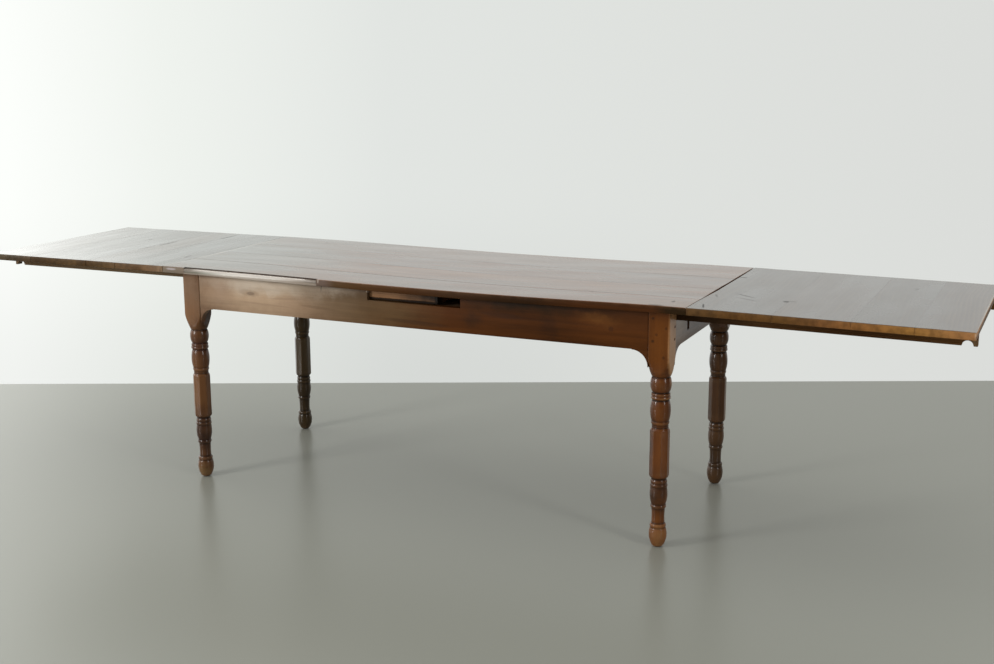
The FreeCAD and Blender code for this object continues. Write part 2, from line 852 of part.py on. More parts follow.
batten_low = underside - cell("BattenThick")
batten_screws = []
for column in (-1, 1):
    for number, (low, high) in enumerate(zip(seams, seams[1:])):
        batten_screws.append(
            screw(
                f"batten_screw_{number}_{'left' if column < 0 else 'right'}",
                cell("BattenOffset") + cell("ScrewSpacing") / 2 * column,
                (low + high) / 2,
                batten_low,
                cell("BattenThick"),
            )
        )
screw_group = gather("batten_screws", batten_screws)
guide_holes = [
    round_bar(
        f"guide_hole_{name}",
        cell("BattenOffset"),
        cell("GuidePegSpacing") / 2 * depth,
        batten_low,
        cell("GuidePegDiameter") + cell("GuideHoleClearance") * 2,
        cell("BattenThick"),
    )
    for name, depth in DEPTHS.items()
]
batten_half = rail_inner_y - cell("BattenClearance")
batten_blank = box(
    "top_batten_blank",
    cell("BattenOffset") - cell("BattenWidth") / 2,
    -batten_half,
    batten_low,
    cell("BattenWidth"),
    batten_half * 2,
    cell("BattenThick"),
)
top_nodes = [screw_group, cut_by("top_batten", batten_blank, guide_holes + [screw_group])]

strip = new_body("edge_strip")
strip_left = -half_top + cell("StripInset")
strip_section = plank_section(
    -half_width, -half_width + cell("StripDepth"), underside, top_face, True, False
)
pad(strip, "YZ_Plane", strip_left, strip_section, cell("StripLength"))
strip_recess = box(
    "edge_strip_recess",
    strip_left,
    -half_width,
    underside,
    cell("StripLength"),
    cell("StripDepth"),
    cell("TopThick"),
)
top_nodes.append(strip)

BOARD_NAMES = ("front", "mid_front", "mid_rear", "rear")
for number, name in enumerate(BOARD_NAMES):
    blank = top_board(
        f"top_board_{name}_blank",
        seams[number],
        seams[number + 1],
        number == 0,
        number == len(BOARD_NAMES) - 1,
    )
    tools = [screw_group, strip_recess] if number == 0 else [screw_group]
    top_nodes.append(cut_by(f"top_board_{name}", blank, tools))


# ---------------------------------------------------------------------------------------------
# Leaves
# ---------------------------------------------------------------------------------------------

LEAF_BOARD_NAMES = ("outer", "second", "third", "inner")


def leaf(side_name, side, centre_y, stop_y, stop_x, stop_direction):
    """One leaf: four boards across it, two lopers, their screws and the stop pegs."""
    title = side_name.capitalize()
    edges = [leaf_outer]
    for width in ("OuterBoardWidth", "SecondBoardWidth", "ThirdBoardWidth"):
        edges.append(edges[-1] - cell(f"{title}{width}"))
    edges.append(leaf_inner)

    lopers = {}
    for depth_name, depth in DEPTHS.items():
        lopers[depth_name], rebate = loper(
            f"{side_name}_loper_{depth_name}_blank", side, centre_y * depth
        )
    screws = []
    for depth_name, depth in DEPTHS.items():
        for number, name in enumerate(LEAF_BOARD_NAMES):
            near = edges[number + 1] if number < len(LEAF_BOARD_NAMES) - 1 else rebate
            screws.append(
                screw(
                    f"{side_name}_leaf_screw_{depth_name}_{name}",
                    (edges[number] + near) / 2 * side,
                    centre_y * depth,
                    loper_bottom,
                    cell("LoperDepth"),
                )
            )
    screw_node = gather(f"{side_name}_leaf_screws", screws)

    stops = []
    stop_length = cell("StopPegDepth") + cell("StopPegProud")
    for depth_name, depth in DEPTHS.items():
        start = (stop_y - cell("StopPegDepth") * stop_direction) * depth
        finish = (stop_y + cell("StopPegProud") * stop_direction) * depth
        stops.append(
            round_bar(
                f"{side_name}_stop_peg_{depth_name}",
                stop_x * side,
                min_of(start, finish),
                loper_bottom + cell("TailDepth") / 2,
                cell("StopPegDiameter"),
                stop_length,
                "Y",
            )
        )
    stop_node = gather(f"{side_name}_stop_pegs", stops)

    nodes = [screw_node, stop_node]
    for depth_name, blank in lopers.items():
        label = f"{side_name}_loper_{depth_name}"
        nodes.append(cut_by(label, blank, [screw_node, stop_node]))
    for number, name in enumerate(LEAF_BOARD_NAMES):
        far = edges[number] * side
        near = edges[number + 1] * side
        outer_end = number == 0
        blank = new_body(f"{side_name}_leaf_board_{name}_blank")
        section = plank_section(
            min_of(far, near),
            max_of(far, near),
            underside,
            top_face,
            outer_end and side < 0,
            outer_end and side > 0,
        )
        pad(blank, "XZ_Plane", -half_width, section, cell("TopWidth"))
        soften_ends(blank, "Y", half_width)
        nodes.append(cut_by(f"{side_name}_leaf_board_{name}", blank, [screw_node]))
    return nodes


half_loper = cell("LoperThick") / 2
stop_gap = cell("DrawStop") + cell("StopPegDiameter") / 2 + cell("KeeperClearance")
right_nodes = leaf(
    "right", 1, right_loper_y, right_loper_y + half_loper, leg_inner_x - stop_gap, 1
)
left_nodes = leaf(
    "left", -1, left_loper_y, left_loper_y - half_loper, rail_inner_x - stop_gap, -1
)


# ---------------------------------------------------------------------------------------------
# Check and write
# ---------------------------------------------------------------------------------------------

doc.recompute()
for thing in doc.Objects:
    if "Invalid" in thing.State or "Error" in thing.State:
        raise RuntimeError(f"{thing.Label} failed: {thing.State}")

os.makedirs("parts", exist_ok=True)
for node in frame_nodes + top_nodes + left_nodes + right_nodes:
    shape = node.Shape
    if shape.isNull() or not shape.isValid() or not shape.Solids:
        raise RuntimeError(f"{node.Label} has no valid solid")
    shape.exportStep(f"parts/{node.Label}.step")
    print(f"{node.Label}: {len(shape.Solids)} solid(s), {shape.Volume / 1000:.1f} cm3")
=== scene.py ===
import math

import bmesh
import bpy
import numpy as np
from mathutils import Matrix, Vector


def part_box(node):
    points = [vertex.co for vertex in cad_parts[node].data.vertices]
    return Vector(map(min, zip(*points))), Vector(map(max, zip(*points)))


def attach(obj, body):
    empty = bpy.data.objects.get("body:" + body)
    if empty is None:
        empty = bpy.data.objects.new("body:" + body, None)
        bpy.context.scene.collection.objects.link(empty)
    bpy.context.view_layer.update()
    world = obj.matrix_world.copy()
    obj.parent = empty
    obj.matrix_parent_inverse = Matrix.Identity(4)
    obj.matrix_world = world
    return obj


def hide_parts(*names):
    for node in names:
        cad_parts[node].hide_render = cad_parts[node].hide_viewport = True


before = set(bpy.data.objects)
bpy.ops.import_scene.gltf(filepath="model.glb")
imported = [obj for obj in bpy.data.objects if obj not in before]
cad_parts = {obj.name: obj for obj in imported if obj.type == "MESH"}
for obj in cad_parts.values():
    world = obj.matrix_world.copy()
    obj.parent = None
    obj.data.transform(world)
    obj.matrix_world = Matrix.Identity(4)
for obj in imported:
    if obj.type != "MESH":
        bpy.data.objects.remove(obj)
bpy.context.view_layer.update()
MM = 0.001

# ---- Smooth pseudo-random relief

SWELLS = 7
TINY = 1e-7


def waves(points, seed, scale):
    """A smooth field from -1 to 1 over points (N, 3); scale is the size of its swells in metres."""
    rng = np.random.default_rng(seed)
    total = np.zeros(len(points))
    for _ in range(SWELLS):
        pitch = rng.uniform(0.6, 1.7, 3) * 2 * math.pi / np.array(scale)
        pitch = pitch * rng.choice([-1, 1], 3) * rng.uniform(0.2, 1, 3)
        total += np.sin(points @ pitch + rng.uniform(0, 2 * math.pi))
    return total / SWELLS * 1.6


SAG, SAG_DEEPEST, SAG_LEFT, SAG_RIGHT = 7.0 * MM, 0.2, 1.0, 0.68
DROOP, DROOP_FROM, DROOP_REACH = 4.5 * MM, 0.9, 0.83
APRON_FOOT, APRON_DEPTH = 0.621, 0.122


def sag(x):
    """How far the top has sunk between the legs, deepest a little to the right of the middle."""
    reach = np.where(x < SAG_DEEPEST, SAG_LEFT, SAG_RIGHT)
    return SAG * (1 - np.clip(np.abs(x - SAG_DEEPEST) / reach, 0, 1) ** 2) ** 2


def settle(co):
    co[:, 2] -= sag(co[:, 0])


def settle_apron(co):
    """The aprons' top edges follow the top; their bottom edges have stayed nearly straight."""
    share = np.clip((co[:, 2] - APRON_FOOT) / APRON_DEPTH, 0.15, 1)
    co[:, 2] -= sag(co[:, 0]) * share


def droop(co):
    """A leaf hangs lower towards its outer end."""
    settle(co)
    co[:, 2] -= DROOP * np.clip((np.abs(co[:, 0]) - DROOP_FROM) / DROOP_REACH, 0, 1)


# ---- Mesh builders

def new_object(name, data):
    made = bpy.data.objects.new(name, data)
    bpy.context.scene.collection.objects.link(made)
    return made


def finish_mesh(name, verts, faces, body, stands_for, material, layers=None, sharp=55):
    mesh = bpy.data.meshes.new(name)
    mesh.from_pydata([tuple(v) for v in verts], [], [tuple(int(i) for i in f) for f in faces])
    mesh.validate()
    for layer, values in (layers or {}).items():
        attribute = mesh.attributes.new(layer, "FLOAT", "POINT")
        attribute.data.foreach_set("value", np.asarray(values, np.float32))
    mesh.polygons.foreach_set("use_smooth", [True] * len(mesh.polygons))
    mesh.set_sharp_from_angle(angle=math.radians(sharp))
    piece = new_object(name, mesh)
    mesh.materials.append(material)
    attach(piece, body)
    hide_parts(*stands_for)
    return piece


def lattice(xs, ys, zs, solid):
    """Vertices and quads of the surface of a solid made of the cells of a grid."""
    lines = [np.array(sorted(set(np.round(line, 6)))) for line in (xs, ys, zs)]
    middle = [(line[1:] + line[:-1]) / 2 for line in lines]
    grid = np.meshgrid(*middle, indexing="ij")
    filled = np.zeros([len(m) + 2 for m in middle], np.int8)
    filled[1:-1, 1:-1, 1:-1] = solid(*grid)
    count = [len(line) for line in lines]
    quads = []
    for axis in range(3):
        change = np.diff(filled, axis=axis)
        for sign in (1, -1):
            cells = np.argwhere(change == sign)
            start = cells - 1
            start[:, axis] += 1
            first, second = [a for a in range(3) if a != axis]
            corners = []
            for u, v in ((0, 0), (1, 0), (1, 1), (0, 1)):
                corner = start.copy()
                corner[:, first] += u
                corner[:, second] += v
                index = (corner[:, 0] * count[1] + corner[:, 1]) * count[2] + corner[:, 2]
                corners.append(index)
            outward = (sign == -1) != (axis == 1)
            order = corners if outward else corners[::-1]
            quads.append(np.stack(order, 1))
    quads = np.concatenate(quads)
    used, quads = np.unique(quads, return_inverse=True)
    quads = quads.reshape(-1, 4)
    i, rest = np.divmod(used, count[1] * count[2])
    j, k = np.divmod(rest, count[2])
    return np.stack([lines[0][i], lines[1][j], lines[2][k]], 1), quads


def spread(low, high, step, *near):
    """Grid lines from low to high about a step apart, with closer ones at each edge's radius."""
    pieces = max(2, round((high - low) / step))
    lines = list(np.linspace(low, high, pieces + 1))
    for place, radius in near:
        lines = [x for x in lines if abs(x - place) > radius * 2.6 or abs(x - place) < TINY]
        for share in (-2.2, -1, -0.42, 0, 0.42, 1, 2.2):
            x = place + radius * share
            if low - TINY <= x <= high + TINY:
                lines.append(x)
    return lines


def side_gaps(co, low, high):
    """How far each point lies from the x0, x1, y0 and y1 sides of a box."""
    x, y = co[:, 0], co[:, 1]
    return np.stack([x - low[0], high[0] - x, y - low[1], high[1] - y], 1)


def soften(co, low, high, radii, seed):
    """Round the edges of a box: radii for the x0, x1, y0 and y1 sides, less at the bottom."""
    radius = np.array(radii)[np.argmin(side_gaps(co, low, high), 1)]
    worn = 1 + 0.3 * waves(co, seed, (0.07, 0.07, 0.2))
    radius = radius * np.where(co[:, 2] > (low[2] + high[2]) / 2, np.clip(worn, 0.5, 1), 0.45)
    inner = np.clip(co, np.array(low) + radius[:, None], np.array(high) - radius[:, None])
    off = co - inner
    length = np.linalg.norm(off, axis=1)
    several = (np.abs(off) > TINY).sum(1) >= 2
    moved = inner + off / np.maximum(length, 1e-9)[:, None] * radius[:, None]
    co[several] = moved[several]


# How far each kind of side is eased, in mm, and how far in the last grid line lies.
EASED = {
    "outer": 2.8, "end": 2.0, "seam": 0.7, "joint": 0.8, "tight": 0.4, "glued": 0.15, "lip": 0.3,
}
RIM = 5 * MM
# How far wear, the bare side and dirt reach in from an edge.
WEAR_IN, BARE_IN, DIRT_IN = 3.5 * MM, 0.7 * MM, 1.3 * MM


def plank(name, body, material, sides, along, low=None, high=None, hollows=(),
          warp=0.0, age=settle, seed=0, bend=None, step=None, shrink=1.0, dark_hollows=False,
          joints=0.7, cup=0.35):
    """A worn board in the place of its CAD node. sides: kinds of x0, x1, y0 and y1; hollows:
    boxes cut away; joints: the dirt in its joints; warp and cup in mm."""
    box_low, box_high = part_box(name)
    low = np.array(low or box_low, float)
    high = np.array(high or box_high, float)
    radii = [EASED[kind] * MM * shrink for kind in sides]
    steps = step or ((0.03, 0.014) if along == "X" else (0.014, 0.03))
    cuts = [
        [end[axis] for hollow in hollows for end in hollow if low[axis] < end[axis] < high[axis]]
        for axis in range(3)
    ]
    lines = []
    for axis in (0, 1):
        near = [(low[axis], radii[2 * axis]), (high[axis], radii[2 * axis + 1])]
        near += [(low[axis] + RIM, 0.2 * MM), (high[axis] - RIM, 0.2 * MM)]
        near += [(cut, 0.5 * MM) for cut in cuts[axis]]
        lines.append(spread(low[axis], high[axis], steps[axis], *near))
    tallest = max(radii)
    lines.append([
        low[2], low[2] + tallest * 0.45, (low[2] + high[2]) / 2, high[2] - tallest,
        high[2] - tallest * 0.42, high[2], *cuts[2],
    ])

    def solid(x, y, z):
        kept = np.ones(x.shape, bool)
        for hollow in hollows:
            inside = np.ones(x.shape, bool)
            for value, start, end in zip((x, y, z), *hollow):
                inside &= (value > start) & (value < end)
            kept &= ~inside
        return kept

    co, quads = lattice(*lines, solid)
    rest = co.copy()
    soften(co, low, high, radii, seed + 11)
    gaps = side_gaps(rest, low, high)
    drop = high[2] - rest[:, 2]
    wear, seam, edge = np.zeros((3, len(co)))
    dirt = joints(rest) if callable(joints) else joints
    for kind, gap in zip(sides, gaps.T):
        reach = np.sqrt(gap ** 2 + drop ** 2)
        if kind in ("outer", "end"):
            share = 1.0 if kind == "outer" else 0.6
            wear = np.maximum(wear, share * np.exp(-reach / WEAR_IN))
            edge = np.maximum(edge, np.exp(-gap / BARE_IN) * np.clip(drop / (1.5 * MM), 0, 1))
        elif kind != "lip":
            seam = np.maximum(seam, dirt * np.exp(-gap / DIRT_IN))
    for start, end in hollows:
        near = np.ones(len(co), bool)
        for axis in (0, 1):
            near &= (rest[:, axis] > start[axis] - 2e-4) & (rest[:, axis] < end[axis] + 2e-4)
        seam = np.where(near & dark_hollows, 1.0, seam)
    swell = (0.5, 0.09, 0.5) if along == "X" else (0.09, 0.5, 0.5)
    depth = np.clip((rest[:, 2] - low[2]) / (high[2] - low[2]), 0, 1)
    co[:, 2] += warp * MM * waves(rest, seed // 10, swell) * depth
    across = 1 if along == "X" else 0
    middle = (rest[:, across] - low[across]) / (high[across] - low[across]) * 2 - 1
    co[:, 2] += cup * MM * (middle ** 2 - 0.4) * depth * (1 if seed % 2 else -1)
    co[:, 2] = np.minimum(co[:, 2], high[2] + 0.4 * MM)
    if bend:
        bend(co)
    age(co)
    layers = {"wear": wear, "seam": seam, "edge": edge}
    return finish_mesh(name + "_worn", co, quads, body, [name], material, layers)


def from_lowest(face):
    """The same face begun at its lowest corner; a quad keeps the diagonal that splits it."""
    return min(face[n:] + face[:n] for n in range(0, len(face), 2 if len(face) == 4 else 1))


def bevelled(name, outline, axis, low, high, body, material, width, age, rough):
    """A member sawn to an outline: (a, b) points in the plane across axis; its edges eased by
    width and its faces uneven by rough, in mm."""
    work = bmesh.new()
    ring = [(low, a, b) if axis == "X" else (a, low, b) for a, b in outline]
    base = work.faces.new([work.verts.new(point) for point in ring])
    extruded = bmesh.ops.extrude_face_region(work, geom=[base])
    top = [v for v in extruded["geom"] if isinstance(v, bmesh.types.BMVert)]
    shift = Vector((high - low, 0, 0)) if axis == "X" else Vector((0, high - low, 0))
    bmesh.ops.translate(work, verts=top, vec=shift)
    bmesh.ops.recalc_face_normals(work, faces=work.faces)
    work.normal_update()
    sharp = [e for e in work.edges if e.calc_face_angle(0) > math.radians(30)]
    bmesh.ops.bevel(
        work, geom=sharp, offset=width * MM, segments=3, profile=0.5, affect="EDGES",
        clamp_overlap=True, offset_type="OFFSET",
    )
    work.verts.ensure_lookup_table()
    co = np.array([v.co[:] for v in work.verts])
    bmesh.ops.triangulate(work, faces=[f for f in work.faces if len(f.verts) > 4])
    # Sorted, because Blender's bevel gives points and corners in an order that varies.
    order = np.lexsort(co.T)
    rank = np.argsort(order).tolist()
    faces = sorted(from_lowest([rank[v.index] for v in f.verts]) for f in work.faces)
    work.free()
    co = co[order]
    co[:, 2] += rough * MM * waves(co, 3, (0.35, 0.3, 0.3)) * 0.5
    age(co)
    piece = finish_mesh(name + "_worn", co, faces, body, [name], material, None, 50)
    even = piece.modifiers.new("even_normals", "WEIGHTED_NORMAL")
    even.keep_sharp = True
    return piece


def aged_copy(name, body, material, age=settle):
    """The CAD node's own shape, moved with the age of the members that it joins."""
    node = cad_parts[name]
    co = np.array([(node.matrix_world @ v.co)[:] for v in node.data.vertices])
    faces = [list(f.vertices) for f in node.data.polygons]
    age(co)
    return finish_mesh(name + "_aged", co, faces, body, [name], material, None, 30)


# ---- Materials

class Graph:
    """A short way to write a node tree. Kinds go without Blender's prefix; out is the output."""

    def __init__(self, tree):
        self.tree = tree
        self.tree.nodes.clear()

    def add(self, kind, inputs=None, out=0, **settings):
        node = self.tree.nodes.new("ShaderNode" + kind)
        for name, value in settings.items():
            setattr(node, name, value)
        for key, value in (inputs or {}).items():
            socket = node.inputs[key]
            if isinstance(value, bpy.types.NodeSocket):
                self.tree.links.new(value, socket)
            else:
                socket.default_value = value
        return node.outputs[out] if out is not None else node

    def math(self, operation, a, b, clamp=False):
        return self.add("Math", {0: a, 1: b}, operation=operation, use_clamp=clamp)

    def plus(self, a, b):
        return self.math("ADD", a, b)

    def times(self, a, b, clamp=False):
        return self.math("MULTIPLY", a, b, clamp)

    def fade(self, value, mask):
        """The value times one minus the mask."""
        return self.times(self.math("SUBTRACT", 1.0, mask), value)

    def vector(self, operation, a, b, out=0):
        return self.add("VectorMath", {0: a, 1: b}, out=out, operation=operation)

    def noise(self, vector, scale, detail, rough, out=0):
        stretched = self.vector("MULTIPLY", vector, scale)
        inputs = {"Vector": stretched, "Scale": 1.0, "Detail": detail, "Roughness": rough}
        return self.add("TexNoise", inputs, out=out)

    def jitter(self, vector, scale, detail, rough, reach):
        """A noise vector that swings by half of reach to each side of zero."""
        swing = self.noise(vector, scale, detail, rough, out=1)
        return self.vector("MULTIPLY", self.vector("SUBTRACT", swing, (0.5, 0.5, 0.5)), reach)

    def ramp(self, value, low, high, bottom=0.0, top=1.0):
        inputs = {0: value, 1: low, 2: high, 3: bottom, 4: top}
        return self.add("MapRange", inputs, interpolation_type="SMOOTHSTEP")

    def bands(self, value, stops):
        """A colour that changes along value; stops are pairs of place and colour."""
        low, high = stops[0][0], stops[-1][0]
        share = self.add("MapRange", {0: value, 1: low, 2: high})
        node = self.add("ValToRGB", {0: share}, out=None)
        for place, _ in stops[1:-1]:
            node.color_ramp.elements.new((place - low) / (high - low))
        for element, (_, colour) in zip(node.color_ramp.elements, stops):
            element.color = (*colour, 1)
        return node.outputs[0]

    def mix(self, factor, a, b):
        a, b = (c if isinstance(c, bpy.types.NodeSocket) else (*c, 1) for c in (a, b))
        return self.add("Mix", {0: factor, 6: a, 7: b}, 2, data_type="RGBA", clamp_factor=True)

    def layer(self, name):
        return self.add("Attribute", out=2, attribute_name=name)

    def bump(self, strength, distance, height):
        return self.add("Bump", {"Strength": strength, "Distance": distance, "Height": height})

    def surface(self, **sockets):
        """The Principled shader of a surface; a socket's words are joined by underscores."""
        inputs = {name.replace("_", " "): value for name, value in sockets.items()}
        self.add("OutputMaterial", {0: self.add("BsdfPrincipled", inputs)}, out=None)


def new_material(name):
    material = bpy.data.materials.new(name)
    material.use_nodes = True
    return material, Graph(material.node_tree)


def wood(name, deep, body, pale, grain, seed, pitch, rough, coat=0.0, coat_rough=0.16,
         worn=(0.42, 0.26, 0.14), wear=0.7, figure=1.0, marks=(), tints_and_painted_light=(),
         worn_arris_highlights=(), relief=0.45, pith=(0.02, -0.1), side=None, spec=0.3, ring=0.3,
         dull_above=None):
    """Old polished wood. Colours are linear, pitch is the width of a growth ring in mm, and
    dull_above the height over which the polish is nearly gone. Marks are cracks, knots and
    spots of painted shade and painted highlight; patches are tints and broad painted light,
    shade and reflection; the bright arrises are worn edges painted pale as highlights. Each
    has its centre and half size in mm, strength, colour and, where it is turned, its turn in
    degrees. side holds the stops of the colour of the sawn edges, by X in mm, with painted
    shade and painted highlights where its table holds them."""
    material, g = new_material(name)
    place = g.add("TexCoord", out=3)
    parts = g.add("SeparateXYZ", {0: place}, out=None)
    order = {"X": (0, 1, 2), "Y": (1, 0, 2), "Z": (2, 0, 1)}[grain]
    local = g.add("CombineXYZ", {n: parts.outputs[i] for n, i in enumerate(order)})
    shift = (seed * 3.17 % 7, seed * 1.31 % 5, seed * 2.23 % 3)
    local = g.vector("ADD", local, shift)

    # Growth rings round a pith that wanders along the piece.
    wander = g.jitter(local, (0.9, 2.2, 2.2), 1, 0.4, (0, 0.14, 0.14))
    ripple = g.jitter(local, (5, 30, 30), 2, 0.5, (0, 0.009, 0.009))
    around = g.vector("ADD", g.vector("ADD", local, wander), ripple)
    around = g.vector("SUBTRACT", around, (0, shift[1] + pith[0], shift[2] + pith[1]))
    inputs = {"Vector": around, "Scale": 2 * math.pi / (20 * pitch * MM), "Distortion": 0.0}
    rings = g.add(
        "TexWave", inputs, out=1, wave_type="RINGS", rings_direction="X", wave_profile="SAW"
    )
    pores = g.noise(local, (16, 620, 620), 2, 0.6)
    streaks = g.noise(local, (1.8, 44, 44), 3, 0.55)
    clouds = g.noise(local, (1.7, 4.5, 4.5), 3, 0.55)

    tone = (1 - figure) * 0.35
    for part, low, high, share in (
        (rings, 0.1, 1.0, ring * figure), (streaks, 0.32, 0.68, 0.34 * figure),
        (pores, 0.35, 0.65, 0.16 * figure), (clouds, 0.3, 0.7, 0.45),
    ):
        tone = g.plus(g.times(g.ramp(part, low, high), share), tone)
    colour = g.mix(g.ramp(tone, 0.15, 0.65), deep, body)
    colour = g.mix(g.ramp(tone, 0.6, 1.1), colour, pale)

    # The sides of the boards, wear on the arrises, dirt in the joints.
    gleam = coat
    if dull_above:
        gleam = g.ramp(parts.outputs[2], dull_above, dull_above + 0.06, coat, 0.2 * coat)
    if side:
        bare = g.layer("edge")
        sawn = g.bands(parts.outputs[0], [(x * MM, shade) for x, shade in side])
        shade = g.mix(g.ramp(streaks, 0.3, 0.7, 0.4, 0.0), sawn, (0, 0, 0))
        colour = g.mix(bare, colour, shade)
        gleam = g.fade(coat, bare)
    scuff = g.noise(place, (34, 34, 34), 4, 0.6)
    rubbed = g.times(g.layer("wear"), g.ramp(scuff, 0.36, 0.62, 0.25, 1.0))
    rubbed = g.times(rubbed, wear, True)
    colour = g.mix(rubbed, colour, worn)
    dirt = g.times(g.layer("seam"), 0.88, True)
    gleam = g.fade(gleam, dirt)
    colour = g.mix(dirt, colour, (0.012, 0.008, 0.006))

    height = g.times(g.ramp(streaks, 0.3, 0.7), 0.5)
    height = g.plus(height, g.times(pores, 0.35))
    height = g.plus(height, g.times(rings, 0.05))
    gloss = g.ramp(clouds, 0.3, 0.7, rough - 0.07, rough + 0.07)
    gloss = g.plus(gloss, g.times(rubbed, 0.18))
    if side:
        gloss = g.plus(gloss, g.times(bare, 0.25))

    # Marks, patches and the bright arrises lay tints, dark spots, painted shade and painted
    # highlights over the grain. Marks and the worn arrises have torn outlines, and patches loose
    # ones.
    torn = g.jitter(place, (90, 90, 90), 3, 0.6, (0.004,) * 3)
    loose = g.jitter(place, (14, 14, 14), 4, 0.65, (0.09,) * 3)
    sunk = 0.0
    for kind, spots in (("patch", tints_and_painted_light), ("arris_highlight", worn_arris_highlights), ("mark", marks)):
        for centre, size, strength, tint, *turned in spots:
            spot = g.add(
                "Mapping",
                {
                    0: g.vector("ADD", place, loose if kind == "patch" else torn),
                    1: [c * MM for c in centre],
                    2: [math.radians(t) for t in (turned[0] if turned else (0, 0, 0))],
                    3: [s * MM for s in size],
                },
                vector_type="TEXTURE",
            )
            reach = g.add("VectorMath", {0: spot}, out=1, operation="LENGTH")
            inner = 0.55 if kind == "mark" else 0.0
            mask = g.times(g.ramp(reach, inner, 1.0, 1.0, 0.0), strength)
            if kind == "patch":
                dark, light = (tuple(c * k for c in tint) for k in (0.7, 1.22))
                tint = g.mix(g.ramp(tone, 0.15, 1.0), dark, light)
            colour = g.mix(mask, colour, tint)
            if kind == "mark":
                sunk = g.math("MAXIMUM", mask, sunk)
    if marks:
        height = g.math("SUBTRACT", height, g.times(sunk, 0.8))
        gleam = g.fade(gleam, sunk)

    g.surface(
        Base_Color=colour, Roughness=gloss, Normal=g.bump(relief, 0.5 * MM, height),
        Coat_Weight=gleam, Coat_Roughness=coat_rough, Coat_IOR=1.5, Specular_IOR_Level=spec,
    )
    return material


def steel():
    material, g = new_material("screw_steel")
    place = g.add("TexCoord", out=3)
    spots = g.ramp(g.noise(place, (420, 420, 420), 4, 0.6), 0.4, 0.65)
    colour = g.mix(spots, (0.36, 0.34, 0.31), (0.11, 0.06, 0.035))
    gloss = g.plus(g.times(spots, 0.4), 0.36)
    g.surface(
        Base_Color=colour, Roughness=gloss, Normal=g.bump(0.3, 0.2 * MM, spots), Metallic=0.85
    )
    return material


# ---- Turned legs: one smooth skin from foot to block, round, eight-sided and square in turn

# Heights and radii in mm. The shoulder: radius at its foot, rise, and where its arc passes.
BLOCK_FOOT = 541.0
BLOCK_HALF = 33.0
SHAFT = (223.0, 379.0)
SHAFT_FLAT = 28.5
SHAFT_END, SHAFT_BEVEL = 26.5, 9.0 / 14.0
SQUARE, EIGHT = 34, 40  # how crisp the corners of the block and of the shaft are
UNCUT = 200.0  # stands for no flat at all
FINE = 0.25  # the step of the lathe's profile
TOE = 26  # how high the feet are worn
SHOULDER = (29.0, 61.0, 0.36, 0.28)
# The turned members from the foot up: rise, radii at the foot, the swell (0 if straight) and
# the top, and the swell's share of the rise.
MEMBERS = [
    (63, 14, 27.6, 24, 0.7), (13, 22.8, 24.8, 22.8, 0.5), (50, 20.5, 19.6, 21, 0.5),
    (11, 22, 24, 22, 0.5), (56, 21.7, 27.3, 25, 0.68), (11, 25, 27, 25, 0.5),
    (13, 23.6, 25.6, 23.6, 0.5), (6, 23.3, 0, 23.3, 0.5), (156, 26.5, 0, 26.5, 0.5),
    (12, 25.3, 0, 25.3, 0.5), (12, 25.8, 27.8, 25.8, 0.5), (63, 27, 31.3, 27, 0.5),
    (4, 26, 0, 26, 0.5), (9.5, 28.2, 30.2, 28.2, 0.5), (9.5, 28.2, 29.2, 28.2, 0.5),
    (4, 26, 0, 26, 0.5), (44, 27.3, 32.4, 28.6, 0.5), (4, 27.5, 0, 27.5, 0.5),
]


def arc_radius(z, low, via, high):
    """Radius at heights z on the arc through three (radius, height) points."""
    (ax, ay), (bx, by), (cx, cy) = low, via, high
    d = 2 * (ax * (by - cy) + bx * (cy - ay) + cx * (ay - by))
    if abs(d) < 1e-9:
        return np.interp(z, [ay, cy], [ax, cx])
    a2, b2, c2 = ax * ax + ay * ay, bx * bx + by * by, cx * cx + cy * cy
    ux = (a2 * (by - cy) + b2 * (cy - ay) + c2 * (ay - by)) / d
    uy = (a2 * (cx - bx) + b2 * (ax - cx) + c2 * (bx - ax)) / d
    reach = math.hypot(ax - ux, ay - uy)
    swing = np.sqrt(np.maximum(reach ** 2 - (z - uy) ** 2, 0))
    return ux + swing if bx > ux else ux - swing


def lathe_profile(z):
    """The turned radius at each height, in millimetres; far out where the lathe cut nothing."""
    radius = np.full(z.shape, 90.0)
    start = 0.0
    for rise, low, middle, high, share in MEMBERS:
        here = (z >= start) & (z <= start + rise)
        if middle:
            shape = arc_radius(
                z[here], (low, start), (middle, start + rise * share), (high, start + rise)
            )
        else:
            shape = np.full(here.sum(), float(low))
        radius[here] = shape
        start += rise
    foot, rise, out, up = SHOULDER
    corner = BLOCK_HALF * math.sqrt(2) + 1
    here = (z > BLOCK_FOOT) & (z < BLOCK_FOOT + rise)
    radius[here] = arc_radius(
        z[here],
        (foot, BLOCK_FOOT),
        (foot + (corner - foot) * out, BLOCK_FOOT + rise * up),
        (corner, BLOCK_FOOT + rise),
    )
    radius[z >= BLOCK_FOOT + rise] = corner + 6
    low, high = SHAFT
    inside = (z > low) & (z < high)
    bevel = SHAFT_END + np.minimum(z - low, high - z) * SHAFT_BEVEL
    radius[inside] = bevel[inside]
    return radius


def blurred(line, reach, width):
    kernel = np.exp(-0.5 * (np.arange(-reach, reach + 1) / width) ** 2)
    return np.convolve(np.pad(line, reach, mode="edge"), kernel / kernel.sum(), "valid")


